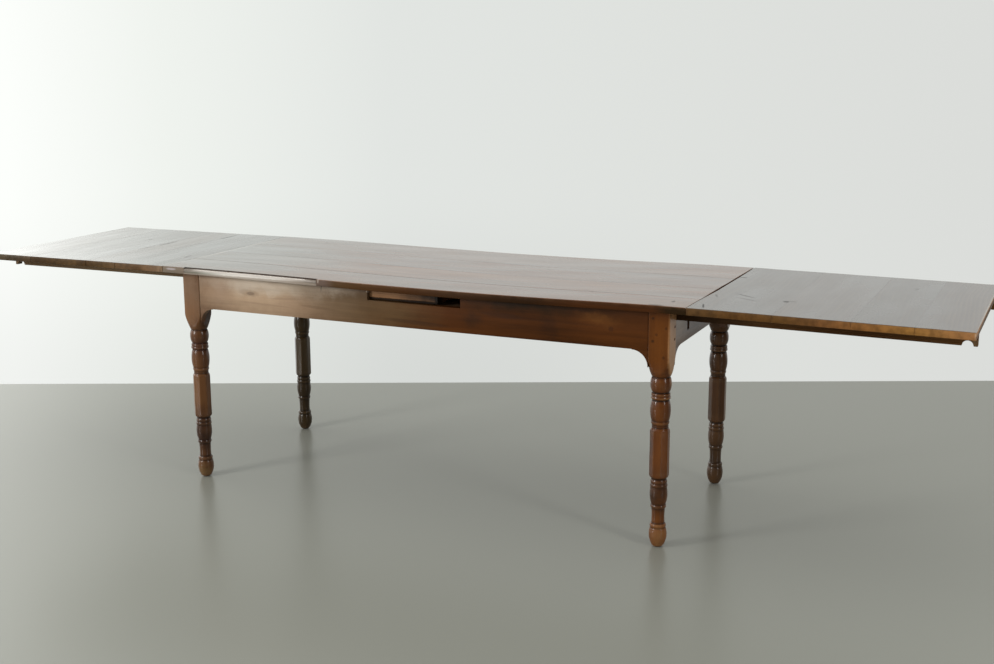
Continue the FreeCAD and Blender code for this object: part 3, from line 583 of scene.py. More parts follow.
def turned_leg(name, material, seed, heights=None):
    """heights: where this leg's members lie, for one turned a little unlike the others."""
    low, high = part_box(name)
    centre = np.array([(low[0] + high[0]) / 2, (low[1] + high[1]) / 2]) / MM
    top = high[2] / MM
    fine = np.arange(0, top + FINE, FINE)
    lathe = lathe_profile(fine)
    lathe -= 5 * np.clip(1 - fine / 6, 0, 1) ** 2
    smooth = blurred(lathe, 6, 2.4)
    cut = np.minimum(lathe, 36)
    proud = blurred(cut, 6, 2.4) - blurred(cut, 60, 22)

    rows = [0.0]
    while rows[-1] < top - 1e-6:
        z = rows[-1]
        bend = abs(np.interp(z + 2, fine, smooth) - np.interp(z, fine, smooth))
        plain = SHAFT[0] + 16 < z < SHAFT[1] - 16 or z > BLOCK_FOOT + 66
        step = 9.0 if plain else (1.1 if bend > 0.9 else 2.2)
        rows.append(min(z + step, top))
    rows = np.array(rows)
    base = np.linspace(0, 360, 64, endpoint=False)
    corners = np.concatenate([np.arange(45, 360, 90), np.arange(22.5, 360, 45)])
    near = np.concatenate([corners + d for d in (-2.6, -1.3, 0, 1.3, 2.6)])
    turns = np.unique(np.round(np.concatenate([base, near]) % 360, 3))
    theta = np.radians(turns)
    c, s = np.abs(np.cos(theta)), np.abs(np.sin(theta))
    square = BLOCK_HALF * (c ** SQUARE + s ** SQUARE) ** (-1 / SQUARE)
    facets = [np.abs(np.cos(theta - math.radians(45 * n))) ** EIGHT for n in range(4)]
    eight = SHAFT_FLAT * np.sum(facets, axis=0) ** (-1 / EIGHT)

    def skin(radius, heights):
        x, y = centre[0] + radius * np.cos(tt), centre[1] + radius * np.sin(tt)
        return np.stack([x, y, heights], -1).reshape(-1, 3) * MM

    zz, tt = np.meshgrid(rows, theta, indexing="ij")
    level = rows[:, None]
    turned = np.interp(rows, fine, smooth)[:, None] + np.zeros_like(tt)
    shaft = (level > SHAFT[0]) & (level < SHAFT[1])
    flat = np.where(shaft, eight, np.where(level > BLOCK_FOOT, square, UNCUT))
    blend = 0.8
    least = np.minimum(turned, flat)
    radius = least - blend * np.log1p(np.exp(-np.abs(turned - flat) / blend)) * 0.6
    round_here = flat == UNCUT
    radius = np.where(round_here, turned, radius)
    hand = waves(skin(radius, zz), seed, (0.08, 0.08, 0.11)).reshape(radius.shape)
    radius = radius + hand * np.where(round_here, 0.28, 0.22)
    if heights:
        zz = np.interp(zz, *heights)
    points = skin(radius, zz)

    # Wear on what stands proud and on the corners and the foot, grime in the hollows.
    ridge = np.interp(rows, fine, proud)
    wear = np.clip(ridge / 1.4, 0, 1)[:, None] * np.ones_like(tt)
    grime = np.clip(-ridge / 1.3, 0, 1)[:, None] * np.ones_like(tt)
    squareness = np.where(level > BLOCK_FOOT + 30, (square - BLOCK_HALF) / 11, 0)
    eightness = np.where(shaft, (eight - SHAFT_FLAT) / 2.1, 0)
    corner = np.clip(np.maximum(squareness, eightness), 0, 1) ** 7
    corner = corner * np.where((np.cos(tt) < 0) & (zz > BLOCK_FOOT), 0.15, 1.0)
    wear = np.where(round_here, wear, corner * 0.7 + wear * 0.35)
    grime = np.where(round_here, grime, 0.0)
    foot = np.clip((TOE - zz) / TOE, 0, 1)
    wear = np.clip(wear + foot * 0.55, 0, 1)

    rows_count, columns = radius.shape
    index = np.arange(rows_count * columns).reshape(rows_count, columns)
    following = np.roll(index, -1, axis=1)
    quads = np.stack([index[:-1], following[:-1], following[1:], index[1:]], -1).reshape(-1, 4)
    faces = [list(q) for q in quads] + [list(index[0][::-1]), list(index[-1])]
    layers = {"wear": wear.ravel(), "seam": grime.ravel() * 0.95, "edge": wear.ravel() * 0}
    return finish_mesh(
        name + "_turned", points, faces, "frame", [name], material, layers, 50
    )


# ---- Materials of the table

# The colour of cracks, also used for a painted shadow line along the batten's foot and a dark spot
# on it.
CRACK_AND_SHADOW = (0.01, 0.006, 0.004)
BARE = (0.5, 0.38, 0.27)


def crack(x, y, length, width, strength, turn=0, depth=12):
    """A crack or knot in the upper face of a board."""
    return (x, y, 765), (length, width, depth), strength, CRACK_AND_SHADOW, (0, 0, turn)


TOP_MARKS = [
    # A pale chip at the top's front left corner, with a painted glint.
    ((-905, -389, 757), (26, 4, 5), 0.6, (0.56, 0.5, 0.51)),
    ((-312, -389, 756), (3, 6, 10), 0.8, (0.5, 0.42, 0.35)),
    crack(870, -310, 7, 16, 0.6),
    crack(838, -380, 30, 9, 0.6),
    crack(752, 75, 95, 1.6, 0.8, -1, 30),
    crack(918, -315, 48, 1.3, 0.8, 2),
    crack(873, -315, 5, 4, 0.9),
    crack(570, -231, 34, 2.2, 0.8, -2),
    crack(626, -198, 15, 1.6, 0.7, -3),
    crack(-560, -26, 150, 1.3, 0.6, -1.3),
    crack(-110, 240, 9, 6, 0.5, 20),
    crack(300, 110, 12, 8, 0.4),
    crack(-700, 300, 10, 7, 0.45),
]
# The top's worn left end arris, painted pale as a highlight.
TOP_WORN_ARRIS_HIGHLIGHT = [((-933, 0, 765), (12, 430, 9), 0.6, (0.56, 0.52, 0.45))]
# The colour of the top's sawn front edge along X: a painted glint at the left end, and painted
# shade on the darkest stretches towards the right.
TOP_EDGE_WITH_PAINTED_SHADE = (
    (-940, (0.45, 0.35, 0.27)), (-320, (0.19, 0.13, 0.1)), (-290, (0.17, 0.115, 0.09)),
    (-250, (0.11, 0.06, 0.026)), (-190, (0.103, 0.047, 0.015)), (10, (0.077, 0.027, 0.006)),
    (160, (0.055, 0.023, 0.008)), (330, (0.03, 0.012, 0.003)), (440, (0.03, 0.011, 0.002)),
    (600, (0.078, 0.024, 0.004)), (830, (0.078, 0.024, 0.005)), (875, (0.032, 0.015, 0.004)),
    (940, (0.03, 0.015, 0.003)),
)
# The colour of the edge strip's front face along X: paler wood with a painted highlight, near white
# in its middle and falling away towards each end.
STRIP_FACE_WITH_PAINTED_HIGHLIGHT = (
    (-850, (0.2, 0.175, 0.135)), (-800, (0.25, 0.235, 0.185)), (-750, (0.55, 0.53, 0.46)),
    (-690, (0.96, 0.91, 0.83)), (-580, (0.96, 0.9, 0.83)), (-480, (0.88, 0.83, 0.76)),
    (-430, (0.7, 0.63, 0.56)), (-380, (0.4, 0.34, 0.28)), (-335, (0.18, 0.14, 0.105)),
    (-316, (0.13, 0.1, 0.075)),
)
TOP_PATCHES = [((-900, 0, 765), (700, 900, 300), 0.85, (0.105, 0.088, 0.066))]
LEFT_MARKS = [
    crack(-1148, 285, 6, 75, 0.9, depth=30),
    crack(-1264, 60, 5, 75, 0.8, 2),
    crack(-1270, -60, 4, 60, 0.5, -1),
    crack(-990, -180, 40, 9, 0.25, -74),
    crack(-1400, 120, 11, 14, 0.4, depth=14),
]
RIGHT_MARKS = [
    crack(1040, -129, 56, 6, 0.55, -35),
    crack(1060, -185, 50, 7, 0.3, -28),
    crack(1175, -173, 12, 15, 0.75, 10, 18),
    crack(1196, -165, 16, 9, 0.4, 10, 18),
    crack(969, -338, 3.5, 42, 0.9, 16, 26),
    crack(962, -165, 4, 30, 0.5, 20),
    crack(958, 179, 18, 10, 0.7, -8),
    crack(1500, 200, 9, 18, 0.3, depth=14),
]
# Painted shade on the right leaf's outer end face.
END_FACE_PAINTED_SHADE = [((1731, 0, 746), (6, 600, 13), 0.85, (0.1, 0.066, 0.045))]
APRON_MARKS = [
    ((-599, -359, 688), (20, 14, 8), 0.5, (0.1, 0.065, 0.045)),
    ((-606, -359, 690), (52, 20, 14), 0.3, (0.2, 0.13, 0.08), (0, 4, 0)),
    # A painted highlight on the left wall of the slot.
    ((-146, -350, 731), (5, 16, 9), 0.9, (0.45, 0.36, 0.28)),
    ((693, -359, 676), (10, 16, 11), 0.5, (0.045, 0.014, 0.005)),
    ((-318, -359, 730), (2, 16, 20), 0.6, CRACK_AND_SHADOW, (0, 8, 0)),
    ((-455, -359, 680), (80, 14, 5), 0.2, (0.16, 0.1, 0.06), (0, -3, 0)),
    ((-540, -359, 655), (130, 14, 4), 0.2, (0.2, 0.12, 0.07), (0, 2, 0)),
    ((-330, -359, 660), (90, 14, 6), 0.25, (0.08, 0.045, 0.025), (0, 3, 0)),
    ((40, -359, 640), (150, 16, 9), 0.35, (0.035, 0.016, 0.009), (0, 2, 0)),
    ((330, -359, 690), (90, 16, 12), 0.35, (0.035, 0.016, 0.009), (0, 3, 0)),
]
# The pale places over the left half, palest near the top, and the darker steps towards the middle
# are a painted reflection of the window. The dark band along the top of the right half is a painted
# shadow under the top's overhang. The rest are dark and reddish tints.
APRON_TINTS_PAINTED_SHEEN_AND_SHADOW = [
    ((-570, -359, 690), (480, 100, 200), 1.0, (0.44, 0.31, 0.205)),
    ((-570, -359, 727), (300, 80, 60), 0.9, (0.6, 0.5, 0.4)),
    ((-400, -359, 715), (170, 60, 60), 0.5, (0.46, 0.38, 0.29)),
    ((-230, -359, 680), (240, 80, 160), 0.8, (0.19, 0.125, 0.07)),
    ((-265, -359, 728), (130, 60, 40), 0.8, (0.46, 0.37, 0.28)),
    ((-70, -359, 670), (240, 80, 110), 0.8, (0.15, 0.085, 0.036)),
    ((-720, -359, 700), (70, 60, 90), 0.5, (0.34, 0.23, 0.16)),
    ((420, -359, 742), (440, 60, 62), 1.0, (0.026, 0.012, 0.003)),
    ((235, -359, 672), (45, 50, 50), 0.6, (0.03, 0.014, 0.007)),
    ((490, -359, 672), (50, 50, 60), 0.6, (0.036, 0.014, 0.006)),
    ((650, -359, 702), (100, 50, 34), 0.6, (0.19, 0.07, 0.014)),
    ((700, -359, 655), (220, 60, 60), 0.6, (0.13, 0.038, 0.006)),
]
# Tints of each leg, with painted reflection and painted shade where noted.
LEG_TINTS_AND_PAINTED_LIGHT = {
    "leg_front_left": [
        # Front left: a painted reflection of the window on the block's front.
        ((-850, -361, 690), (90, 50, 170), 0.9, (0.27, 0.165, 0.1)),
        ((-844, -361, 610), (60, 50, 90), 0.6, (0.27, 0.135, 0.062)),
        # Painted shade on the block's side towards the middle; then darker turnings and a paler
        # foot.
        ((-795, -322, 590), (34, 62, 110), 0.95, (0.012, 0.008, 0.005)),
        ((-844, -328, 480), (80, 80, 130), 0.8, (0.06, 0.02, 0.012)),
        ((-844, -328, 160), (80, 80, 150), 1.0, (0.024, 0.009, 0.006)),
        ((-844, -350, 28), (50, 50, 50), 0.6, (0.24, 0.15, 0.06)),
    ],
    "leg_front_right": [
        ((844, -361, 650), (90, 60, 150), 0.95, (0.195, 0.06, 0.008)),
        # Painted shade down the left side of the leg.
        ((806, -320, 270), (34, 80, 420), 0.85, (0.03, 0.012, 0.005)),
        ((844, -328, 175), (80, 80, 130), 1.0, (0.036, 0.014, 0.005)),
        ((850, -355, 30), (50, 60, 60), 0.4, (0.3, 0.17, 0.075)),
    ],
    "leg_rear_left": [((-844, 328, 150), (80, 80, 130), 0.6, (0.02, 0.011, 0.005))],
    "leg_rear_right": [
        # Painted shade down the left side of the leg.
        ((806, 335, 370), (34, 80, 420), 0.85, (0.024, 0.013, 0.006)),
        ((844, 328, 80), (120, 120, 280), 0.95, (0.028, 0.015, 0.007)),
    ],
}
BLOCK_PAINTED_LIGHT_AND_CRACKS = [
    # Painted light on the front right block's outer side; then small cracks.
    ((880, -328, 640), (12, 64, 165), 0.92, (0.42, 0.222, 0.1)),
    ((836, -361, 671), (6, 8, 5), 0.4, CRACK_AND_SHADOW),
    ((866, -361, 692), (5, 8, 6), 0.4, CRACK_AND_SHADOW),
    ((860, -361, 603), (5, 8, 6), 0.45, CRACK_AND_SHADOW),
]
RAIL_PAINTED_LIGHT_AND_SHADE = [
    # Painted light on the right end rail's outer face: lighter towards the front, darker towards
    # the middle.
    ((875, -250, 700), (60, 130, 120), 0.8, (0.38, 0.27, 0.19)),
    ((875, 0, 690), (60, 200, 140), 0.6, (0.06, 0.035, 0.022)),
]
RAIL_PAINTED_SHADE_AND_CRACK = [
    # Painted shade inside the notch in the right end rail; then a crack.
    ((876, -163, 674), (9, 18, 26), 0.95, (0.03, 0.018, 0.012)),
    ((876, 40, 660), (6, 22, 8), 0.4, CRACK_AND_SHADOW),
]

RED_WORN = (0.36, 0.19, 0.08)
LEG_TONES = {
    "leg_front_left": ((0.056, 0.021, 0.007), (0.158, 0.064, 0.019), (0.26, 0.116, 0.036),
                       (0.24, 0.13, 0.065), 21),
    "leg_front_right": ((0.058, 0.015, 0.003), (0.16, 0.047, 0.006), (0.28, 0.094, 0.014),
                        (0.3, 0.15, 0.055), 22),
    "leg_rear_left": ((0.02, 0.011, 0.003), (0.055, 0.031, 0.009), (0.098, 0.053, 0.016),
                      (0.12, 0.07, 0.035), 23),
    "leg_rear_right": ((0.068, 0.026, 0.008), (0.18, 0.076, 0.024), (0.29, 0.13, 0.042),
                       (0.22, 0.12, 0.05), 24),
}
legs = {
    name: wood(
        name + "_polished", deep, body, pale, "Z", seed, pitch=13, rough=0.36,
        coat=0.48, coat_rough=0.13, worn=worn, wear=0.55, figure=0.4, relief=0.3, spec=0.14,
        ring=0.06, dull_above=0.54,
        marks=BLOCK_PAINTED_LIGHT_AND_CRACKS if name == "leg_front_right" else (),
        tints_and_painted_light=LEG_TINTS_AND_PAINTED_LIGHT[name], pith=(0.012, 0.02),
    )
    for name, (deep, body, pale, worn, seed) in LEG_TONES.items()
}
apron_wood = wood(
    "apron_polished", (0.032, 0.01, 0.002), (0.084, 0.025, 0.004), (0.15, 0.046, 0.007), "X", 31,
    pitch=22, rough=0.45, marks=APRON_MARKS, tints_and_painted_light=APRON_TINTS_PAINTED_SHEEN_AND_SHADOW,
    wear=0.0, pith=(0.03, -0.16), figure=0.45, spec=0.12, ring=0.12,
)
rear_apron_wood = wood(
    "rear_apron_polished", (0.045, 0.016, 0.006), (0.11, 0.04, 0.014), (0.2, 0.085, 0.032),
    "X", 32, pitch=22, rough=0.42, worn=RED_WORN, pith=(-0.04, -0.2),
    figure=0.45, spec=0.22,
)
rail_wood = wood(
    "end_rail_polished", (0.055, 0.022, 0.01), (0.12, 0.052, 0.025), (0.2, 0.105, 0.055), "Y",
    33, pitch=16, rough=0.42, coat=0.15, coat_rough=0.24, marks=RAIL_PAINTED_SHADE_AND_CRACK, worn=RED_WORN,
    tints_and_painted_light=RAIL_PAINTED_LIGHT_AND_SHADE, pith=(0.05, -0.14), figure=0.5,
)
TOP_TONES = (
    ((0.075, 0.024, 0.007), (0.165, 0.06, 0.018), (0.25, 0.11, 0.04)),
    ((0.08, 0.027, 0.009), (0.18, 0.068, 0.022), (0.27, 0.12, 0.046)),
    ((0.07, 0.022, 0.007), (0.16, 0.056, 0.017), (0.24, 0.105, 0.038)),
    ((0.082, 0.029, 0.011), (0.185, 0.072, 0.026), (0.28, 0.13, 0.052)),
)
LEFT_TONES = (
    ((0.03, 0.016, 0.01), (0.075, 0.042, 0.026), (0.13, 0.08, 0.05)),
    ((0.024, 0.013, 0.009), (0.062, 0.036, 0.023), (0.11, 0.07, 0.045)),
    ((0.034, 0.018, 0.011), (0.08, 0.045, 0.027), (0.14, 0.085, 0.052)),
    ((0.022, 0.012, 0.008), (0.058, 0.034, 0.022), (0.1, 0.064, 0.042)),
)
RIGHT_TONES = (
    ((0.026, 0.014, 0.009), (0.066, 0.036, 0.022), (0.12, 0.07, 0.042)),
    ((0.022, 0.012, 0.008), (0.058, 0.033, 0.02), (0.11, 0.064, 0.038)),
    ((0.028, 0.015, 0.009), (0.07, 0.038, 0.023), (0.12, 0.074, 0.045)),
    ((0.024, 0.013, 0.008), (0.06, 0.034, 0.021), (0.11, 0.066, 0.04)),
)
LEFT_SAWN = (
    (-1729, (0.105, 0.078, 0.047)), (-1600, (0.08, 0.048, 0.024)), (-1460, (0.07, 0.036, 0.012)),
    (-1350, (0.125, 0.07, 0.026)), (-1285, (0.07, 0.034, 0.009)), (-1200, (0.125, 0.07, 0.026)),
    (-1100, (0.155, 0.086, 0.04)), (-1040, (0.145, 0.076, 0.032)), (-985, (0.28, 0.165, 0.09)),
    (-941, (0.25, 0.165, 0.1)),
)
RIGHT_SAWN = (
    (941, (0.125, 0.062, 0.02)), (1080, (0.155, 0.068, 0.017)), (1200, (0.15, 0.07, 0.018)),
    (1320, (0.245, 0.105, 0.033)), (1440, (0.325, 0.14, 0.038)), (1560, (0.4, 0.19, 0.046)),
    (1729, (0.4, 0.185, 0.07)),
)
# The right leaf's worn outer end arris and front corner, painted near white as highlights.
RIGHT_WORN_ARRIS_HIGHLIGHTS = [
    ((1730, 0, 765), (8, 600, 9), 0.95, (1.0, 0.93, 0.82)),
    ((1728, -393, 752), (8, 8, 22), 0.85, (0.95, 0.82, 0.62)),
]
WORN = {
    ("left", True): (0.52, 0.45, 0.36), ("left", False): (0.22, 0.14, 0.08),
    ("right", True): (0.42, 0.25, 0.11), ("right", False): (0.3, 0.17, 0.07),
}
pin_wood = wood(
    "pin_oiled", (0.014, 0.007, 0.004), (0.04, 0.018, 0.009), (0.08, 0.04, 0.02), "Y", 41,
    pitch=2, rough=0.5, coat=0.2, figure=0.5,
)
frame_peg_wood = wood(
    "frame_peg_oiled", (0.04, 0.014, 0.004), (0.1, 0.036, 0.01), (0.16, 0.06, 0.02), "Y", 40,
    pitch=2, rough=0.6, figure=0.5, spec=0.1,
    # The pegs at the left end are paler, to match the painted reflection on the front left block.
    tints_and_painted_light=[((-1000, 0, 680), (600, 2000, 2000), 1.0, (0.26, 0.165, 0.1))],
)
inner_wood = wood(
    "inner_bare", (0.08, 0.042, 0.02), (0.17, 0.095, 0.048), (0.28, 0.17, 0.095), "Y", 42,
    pitch=9, rough=0.62, figure=0.9, worn=(0.36, 0.23, 0.13), relief=0.6,
)
batten_wood = wood(
    "batten_bare", (0.12, 0.052, 0.022), (0.29, 0.142, 0.064), (0.4, 0.22, 0.11), "X", 43,
    pitch=7, rough=0.5, figure=0.8, worn=(0.4, 0.24, 0.12), relief=0.5, spec=0.2,
    # Painted shade over the right part of the batten in its slot.
    tints_and_painted_light=[((80, -345, 725), (160, 60, 80), 1.0, (0.028, 0.014, 0.008))],
    marks=[
        # A painted shadow along the batten's foot, over the gap beneath it; then a dark spot near
        # its right end.
        ((-20, -345, 704), (400, 9, 7), 0.95, CRACK_AND_SHADOW),
        ((105, -345, 725), (14, 40, 60), 0.95, CRACK_AND_SHADOW),
    ],
)
# The right lopers' tones are darker than the left's: painted shade under the leaf.
LOPER_TONES_WITH_PAINTED_SHADE = {
    "left": ((0.09, 0.054, 0.026), (0.2, 0.13, 0.07), (0.3, 0.2, 0.115)),
    "right": ((0.052, 0.02, 0.005), (0.125, 0.056, 0.018), (0.2, 0.105, 0.04)),
}
LOPER_TINTS_AND_PAINTED_SHADE = {
    "left": [((-1660, -266, 720), (400, 80, 120), 0.8, (0.135, 0.08, 0.038))],
    "right": [
        # Painted shade on the right front loper beside the leg; then a paler tip.
        ((960, -292, 720), (260, 80, 120), 0.9, (0.022, 0.01, 0.004)),
        ((1724, -281, 725), (14, 60, 60), 0.7, (0.26, 0.17, 0.09)),
    ],
}
screw_steel = steel()


# ---- The table, in metres

DEPTHS = (("front", -1), ("rear", 1))
HALF_TOP, HALF_WIDTH = 0.94, 0.388
TAPER, OUT_OF_SQUARE = 0.02, 0.009
LEAF_INNER, LEAF_TRUE = 0.941, 1.18
LIFT_SLOT = ((-0.145, -1, 0.704), (0.191, 1, 1))
LOPER_SLOTS = {-1: (0.2425, 0.2675), 1: (0.2685, 0.296)}
SLOT_FLOOR = 0.7042
RAIL_NOTCH = ((0.869, -0.173, 0.652), (0.9, -0.151, 0.694))
BRACKET_TIP = 1.4 * MM
STRIP_DROP = 4.4 * MM
BATTEN_LEFT, BATTEN_MORE, BATTEN_FOOT = -0.1435, 0.011, 0.709
SCALLOP, SCALLOP_IN = 0.0155, 0.0268
REBATE, LOPER_TAIL, LOPER_CLEAR = 1.1065, 0.0225, 1.0 * MM

# The rear right leg's members: their usual heights and their own.
TALLER = ((0, 223, 379, 541, 602, 743), (0, 228, 388, 550, 606, 743))
for name, material in legs.items():
    seed = 50 + list(legs).index(name)
    turned_leg(name, material, seed, TALLER if name == "leg_rear_right" else None)

legs_low, legs_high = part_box("leg_front_right")
inner_x = (legs_low[0] + legs_high[0]) / 2 - BLOCK_HALF * MM
inner_y = -(legs_low[1] + legs_high[1]) / 2 - BLOCK_HALF * MM

for name, material in (("apron_front", apron_wood), ("apron_rear", rear_apron_wood)):
    low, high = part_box(name)
    plank(
        name, "frame", material, ("tight", "tight", "outer", "outer"), "X",
        low=(-inner_x, low[1], low[2]), high=(inner_x, high[1], high[2]), hollows=[LIFT_SLOT],
        seed=61, step=(0.04, 0.03), shrink=0.6, age=settle_apron,
    )
for side, name in ((-1, "end_rail_left"), (1, "end_rail_right")):
    low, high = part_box(name)
    near, far = LOPER_SLOTS[side]
    slots = [((-2, y0, SLOT_FLOOR), (2, y1, 1)) for y0, y1 in ((-far, -near), (near, far))]
    if side > 0:
        slots.append(RAIL_NOTCH)
    plank(
        name, "frame", rail_wood, ("outer", "outer", "tight", "tight"), "Y",
        low=(low[0], -inner_y, low[2]), high=(high[0], inner_y, high[2]), hollows=slots,
        seed=64, step=(0.03, 0.04), shrink=0.6,
    )

for depth_name, depth in DEPTHS:
    for side_name, side in (("left", -1), ("right", 1)):
        for kind, axis in (("apron", "Y"), ("rail", "X")):
            name = f"{kind}_bracket_{depth_name}_{side_name}"
            low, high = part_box(name)
            across, thin = (0, 1) if axis == "Y" else (1, 0)
            away = -side if axis == "Y" else -depth
            corner = low[across] if away > 0 else high[across]
            reach = high[2] - low[2]
            sweep = reach - BRACKET_TIP
            outline = [(0, reach), (0, 0), (BRACKET_TIP, 0)]
            outline += [
                (reach - sweep * math.cos(turn), sweep * math.sin(turn))
                for turn in np.linspace(0, math.pi / 2, 13)[1:-1]
            ]
            outline += [(reach, sweep), (reach, reach)]
            outline = [(corner + out * away, low[2] + up) for out, up in outline]
            bevelled(
                name, outline, axis, low[thin] + 0.3 * MM, high[thin] - 0.3 * MM, "frame",
                {"apron": apron_wood, "rail": rail_wood}[kind], width=0.9,
                rough=0.1, age=settle_apron,
            )


def lay_top(co):
    """The boards taper a little, and the right end of the top is out of square."""
    x, y = co[:, 0].copy(), co[:, 1].copy()
    co[:, 1] -= TAPER * x * (1 - np.clip(np.abs(y) / HALF_WIDTH, 0, 1) ** 6)
    front = (HALF_WIDTH - y) / (2 * HALF_WIDTH)
    co[:, 0] -= OUT_OF_SQUARE * front * (x + HALF_TOP) / (2 * HALF_TOP)


def lay_leaf(co):
    """The right leaf's inner edge follows the top's end, and stands off from it at the rear."""
    near = np.clip((LEAF_TRUE - co[:, 0]) / (LEAF_TRUE - LEAF_INNER), 0, 1)
    front = (HALF_WIDTH - co[:, 1]) / (2 * HALF_WIDTH)
    gap = np.interp(front, (0, 0.3, 0.6, 0.85), (0.003, 0.006, 0.007, 0))
    co[:, 0] += (gap - OUT_OF_SQUARE * front) * near


def joint_dirt(co):
    """How open and dirty each joint of the top is along its length."""
    x = co[:, 0]
    front = np.interp(
        x, (-0.94, -0.76, -0.6, -0.25, 0.1, 0.56, 0.66), (0.1, 0.4, 1, 0.9, 0.7, 0.6, 0.15)
    )
    middle = np.interp(
        x, (-0.9, -0.84, -0.56, -0.46, -0.32, -0.28, 0.15, 0.22, 0.36, 0.9, 0.94),
        (0.3, 0.6, 0.5, 0.15, 0.2, 0.7, 0.7, 0.3, 0.45, 0.45, 0.2),
    )
    rear = np.interp(x, (0.58, 0.66, 0.84, 0.9), (0.0, 0.5, 0.5, 0.0))
    return np.select([co[:, 1] < -0.13, co[:, 1] < 0.03], [front, middle], rear)


strip_low, strip_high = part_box("edge_strip")
recess = ((strip_low[0], -1, 0), (strip_high[0], strip_high[1], 2))
for number, (name, *sides) in enumerate((
    ("front", "outer", "seam"), ("mid_front", "seam", "seam"),
    ("mid_rear", "seam", "glued"), ("rear", "glued", "outer"),
)):
    node = f"top_board_{name}"
    low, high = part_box(node)
    deep, body, pale = TOP_TONES[number]
    board_wood = wood(
        node + "_polished", deep, body, pale, "X", 1 + number, pitch=12, rough=0.28, coat=0.97,
        coat_rough=0.11, marks=TOP_MARKS, tints_and_painted_light=TOP_PATCHES, worn=(0.22, 0.11, 0.05),
        wear=0.4, relief=0.06,
        pith=(0.02 * number - 0.03, -0.11), figure=0.6, side=TOP_EDGE_WITH_PAINTED_SHADE, worn_arris_highlights=TOP_WORN_ARRIS_HIGHLIGHT, spec=0.09,
    )
    plank(
        node, "main_top", board_wood, ("lip", "joint", *sides), "X",
        high=(HALF_TOP, high[1], high[2]), hollows=[recess] if number == 0 else (),
        warp=0.4, seed=70 + number, bend=lay_top, dark_hollows=True, joints=joint_dirt, cup=0.1,
    )
strip_wood = wood(
    "strip_polished", (0.48, 0.4, 0.34), (0.68, 0.6, 0.53), (0.78, 0.7, 0.64), "X", 9,
    pitch=5, rough=0.34, coat=0.6, coat_rough=0.22, worn=BARE, wear=0.1, relief=0.2,
    side=STRIP_FACE_WITH_PAINTED_HIGHLIGHT,
    marks=[
        # The strip is darker along its lower half and at the ends of its top ledge, which bounds
        # its painted highlight.
        ((-583, -388, 741), (600, 9, 10), 0.75, (0.36, 0.29, 0.235)),
        ((-860, -384, 760), (75, 14, 9), 0.9, (0.2, 0.165, 0.13)),
        ((-322, -384, 760), (62, 14, 9), 0.9, (0.18, 0.135, 0.1)),
    ],
)
plank(
    "edge_strip", "main_top", strip_wood, ("tight", "tight", "outer", "tight"), "X",
    high=(strip_high[0], strip_high[1], strip_high[2] - STRIP_DROP), seed=80,
    bend=lay_top, shrink=0.15,
)
batten_low, batten_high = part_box("top_batten")
plank(
    "top_batten", "main_top", batten_wood, ("tight",) * 4, "X",
    low=(BATTEN_LEFT, batten_low[1] - BATTEN_MORE, BATTEN_FOOT),
    high=(batten_high[0], batten_high[1] + BATTEN_MORE, batten_high[2]), seed=82, joints=0.0,
)
aged_copy("batten_screws", "main_top", screw_steel)

for side_name, side, tones, marks, sawn in (
    ("left", -1, LEFT_TONES, LEFT_MARKS, LEFT_SAWN),
    ("right", 1, RIGHT_TONES, RIGHT_MARKS, RIGHT_SAWN),
):
    body_name = f"{side_name}_leaf"
    for number, name in enumerate(("outer", "second", "third", "inner")):
        node = f"{side_name}_leaf_board_{name}"
        deep, body, pale = tones[number]
        far_end = side > 0 and number == 0
        leaf_wood = wood(
            node + "_polished", deep, body, pale, "Y", 11 + number + (5 if side > 0 else 0),
            pitch=12, rough=0.29, coat=0.98 if side > 0 else 1.0, coat_rough=0.13,
            marks=marks + END_FACE_PAINTED_SHADE if far_end else marks,
            worn=WORN[side_name, name == "outer"], wear=0.5,
            worn_arris_highlights=RIGHT_WORN_ARRIS_HIGHLIGHTS if far_end else (),
            relief=0.05 if side > 0 else 0.02, pith=(0.03 * number - 0.05, -0.1), figure=0.5,
            side=sawn, spec=0.12,
        )
        away = "outer" if number == 0 else "glued"
        near = "glued" if number < 3 else "lip" if side < 0 else "joint"
        sides = (away, near) if side < 0 else (near, away)
        plank(
            node, body_name, leaf_wood, (*sides, "end", "end"), "Y",
            warp=0.3, age=droop, seed=90 + number, joints=0.25 if side < 0 else 0.05, cup=0.0,
            bend=lay_leaf if side > 0 and number == 3 else None,
        )
    deep, body, pale = LOPER_TONES_WITH_PAINTED_SHADE[side_name]
    for depth_name, depth in DEPTHS:
        node = f"{side_name}_loper_{depth_name}"
        low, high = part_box(node)
        tail, tip = (high[0], low[0]) if side < 0 else (low[0], high[0])
        centre, foot = tip - SCALLOP_IN * side, low[2] + LOPER_CLEAR
        rebate, wedge = REBATE * side, (REBATE - LOPER_TAIL) * side
        outline = [(x, foot) for x in np.linspace(tail, centre - SCALLOP * side, 24)[:-1]]
        outline += [
            (centre - SCALLOP * math.cos(turn) * side, foot + SCALLOP * math.sin(turn))
            for turn in np.linspace(0, math.pi, 19)
        ]
        outline.append((tip, foot))
        outline += [(x, high[2]) for x in np.linspace(tip, rebate, 12)]
        outline += [(x, low[2] + LOPER_TAIL) for x in np.linspace(wedge, tail, 14)]
        loper_wood = wood(
            node + "_polished", deep, body, pale, "X", 45 + len(node) + (depth + 1), pitch=4,
            rough=0.55, figure=0.9, relief=0.5, spec=0.07,
            tints_and_painted_light=LOPER_TINTS_AND_PAINTED_SHADE[side_name],
        )
        bevelled(
            node, outline, "Y", low[1], high[1], body_name, loper_wood,
            width=1.3, age=droop, rough=0.12,
        )
    aged_copy(f"{side_name}_stop_pegs", body_name, pin_wood, droop)
    aged_copy(f"{side_name}_leaf_screws", body_name, screw_steel, droop)

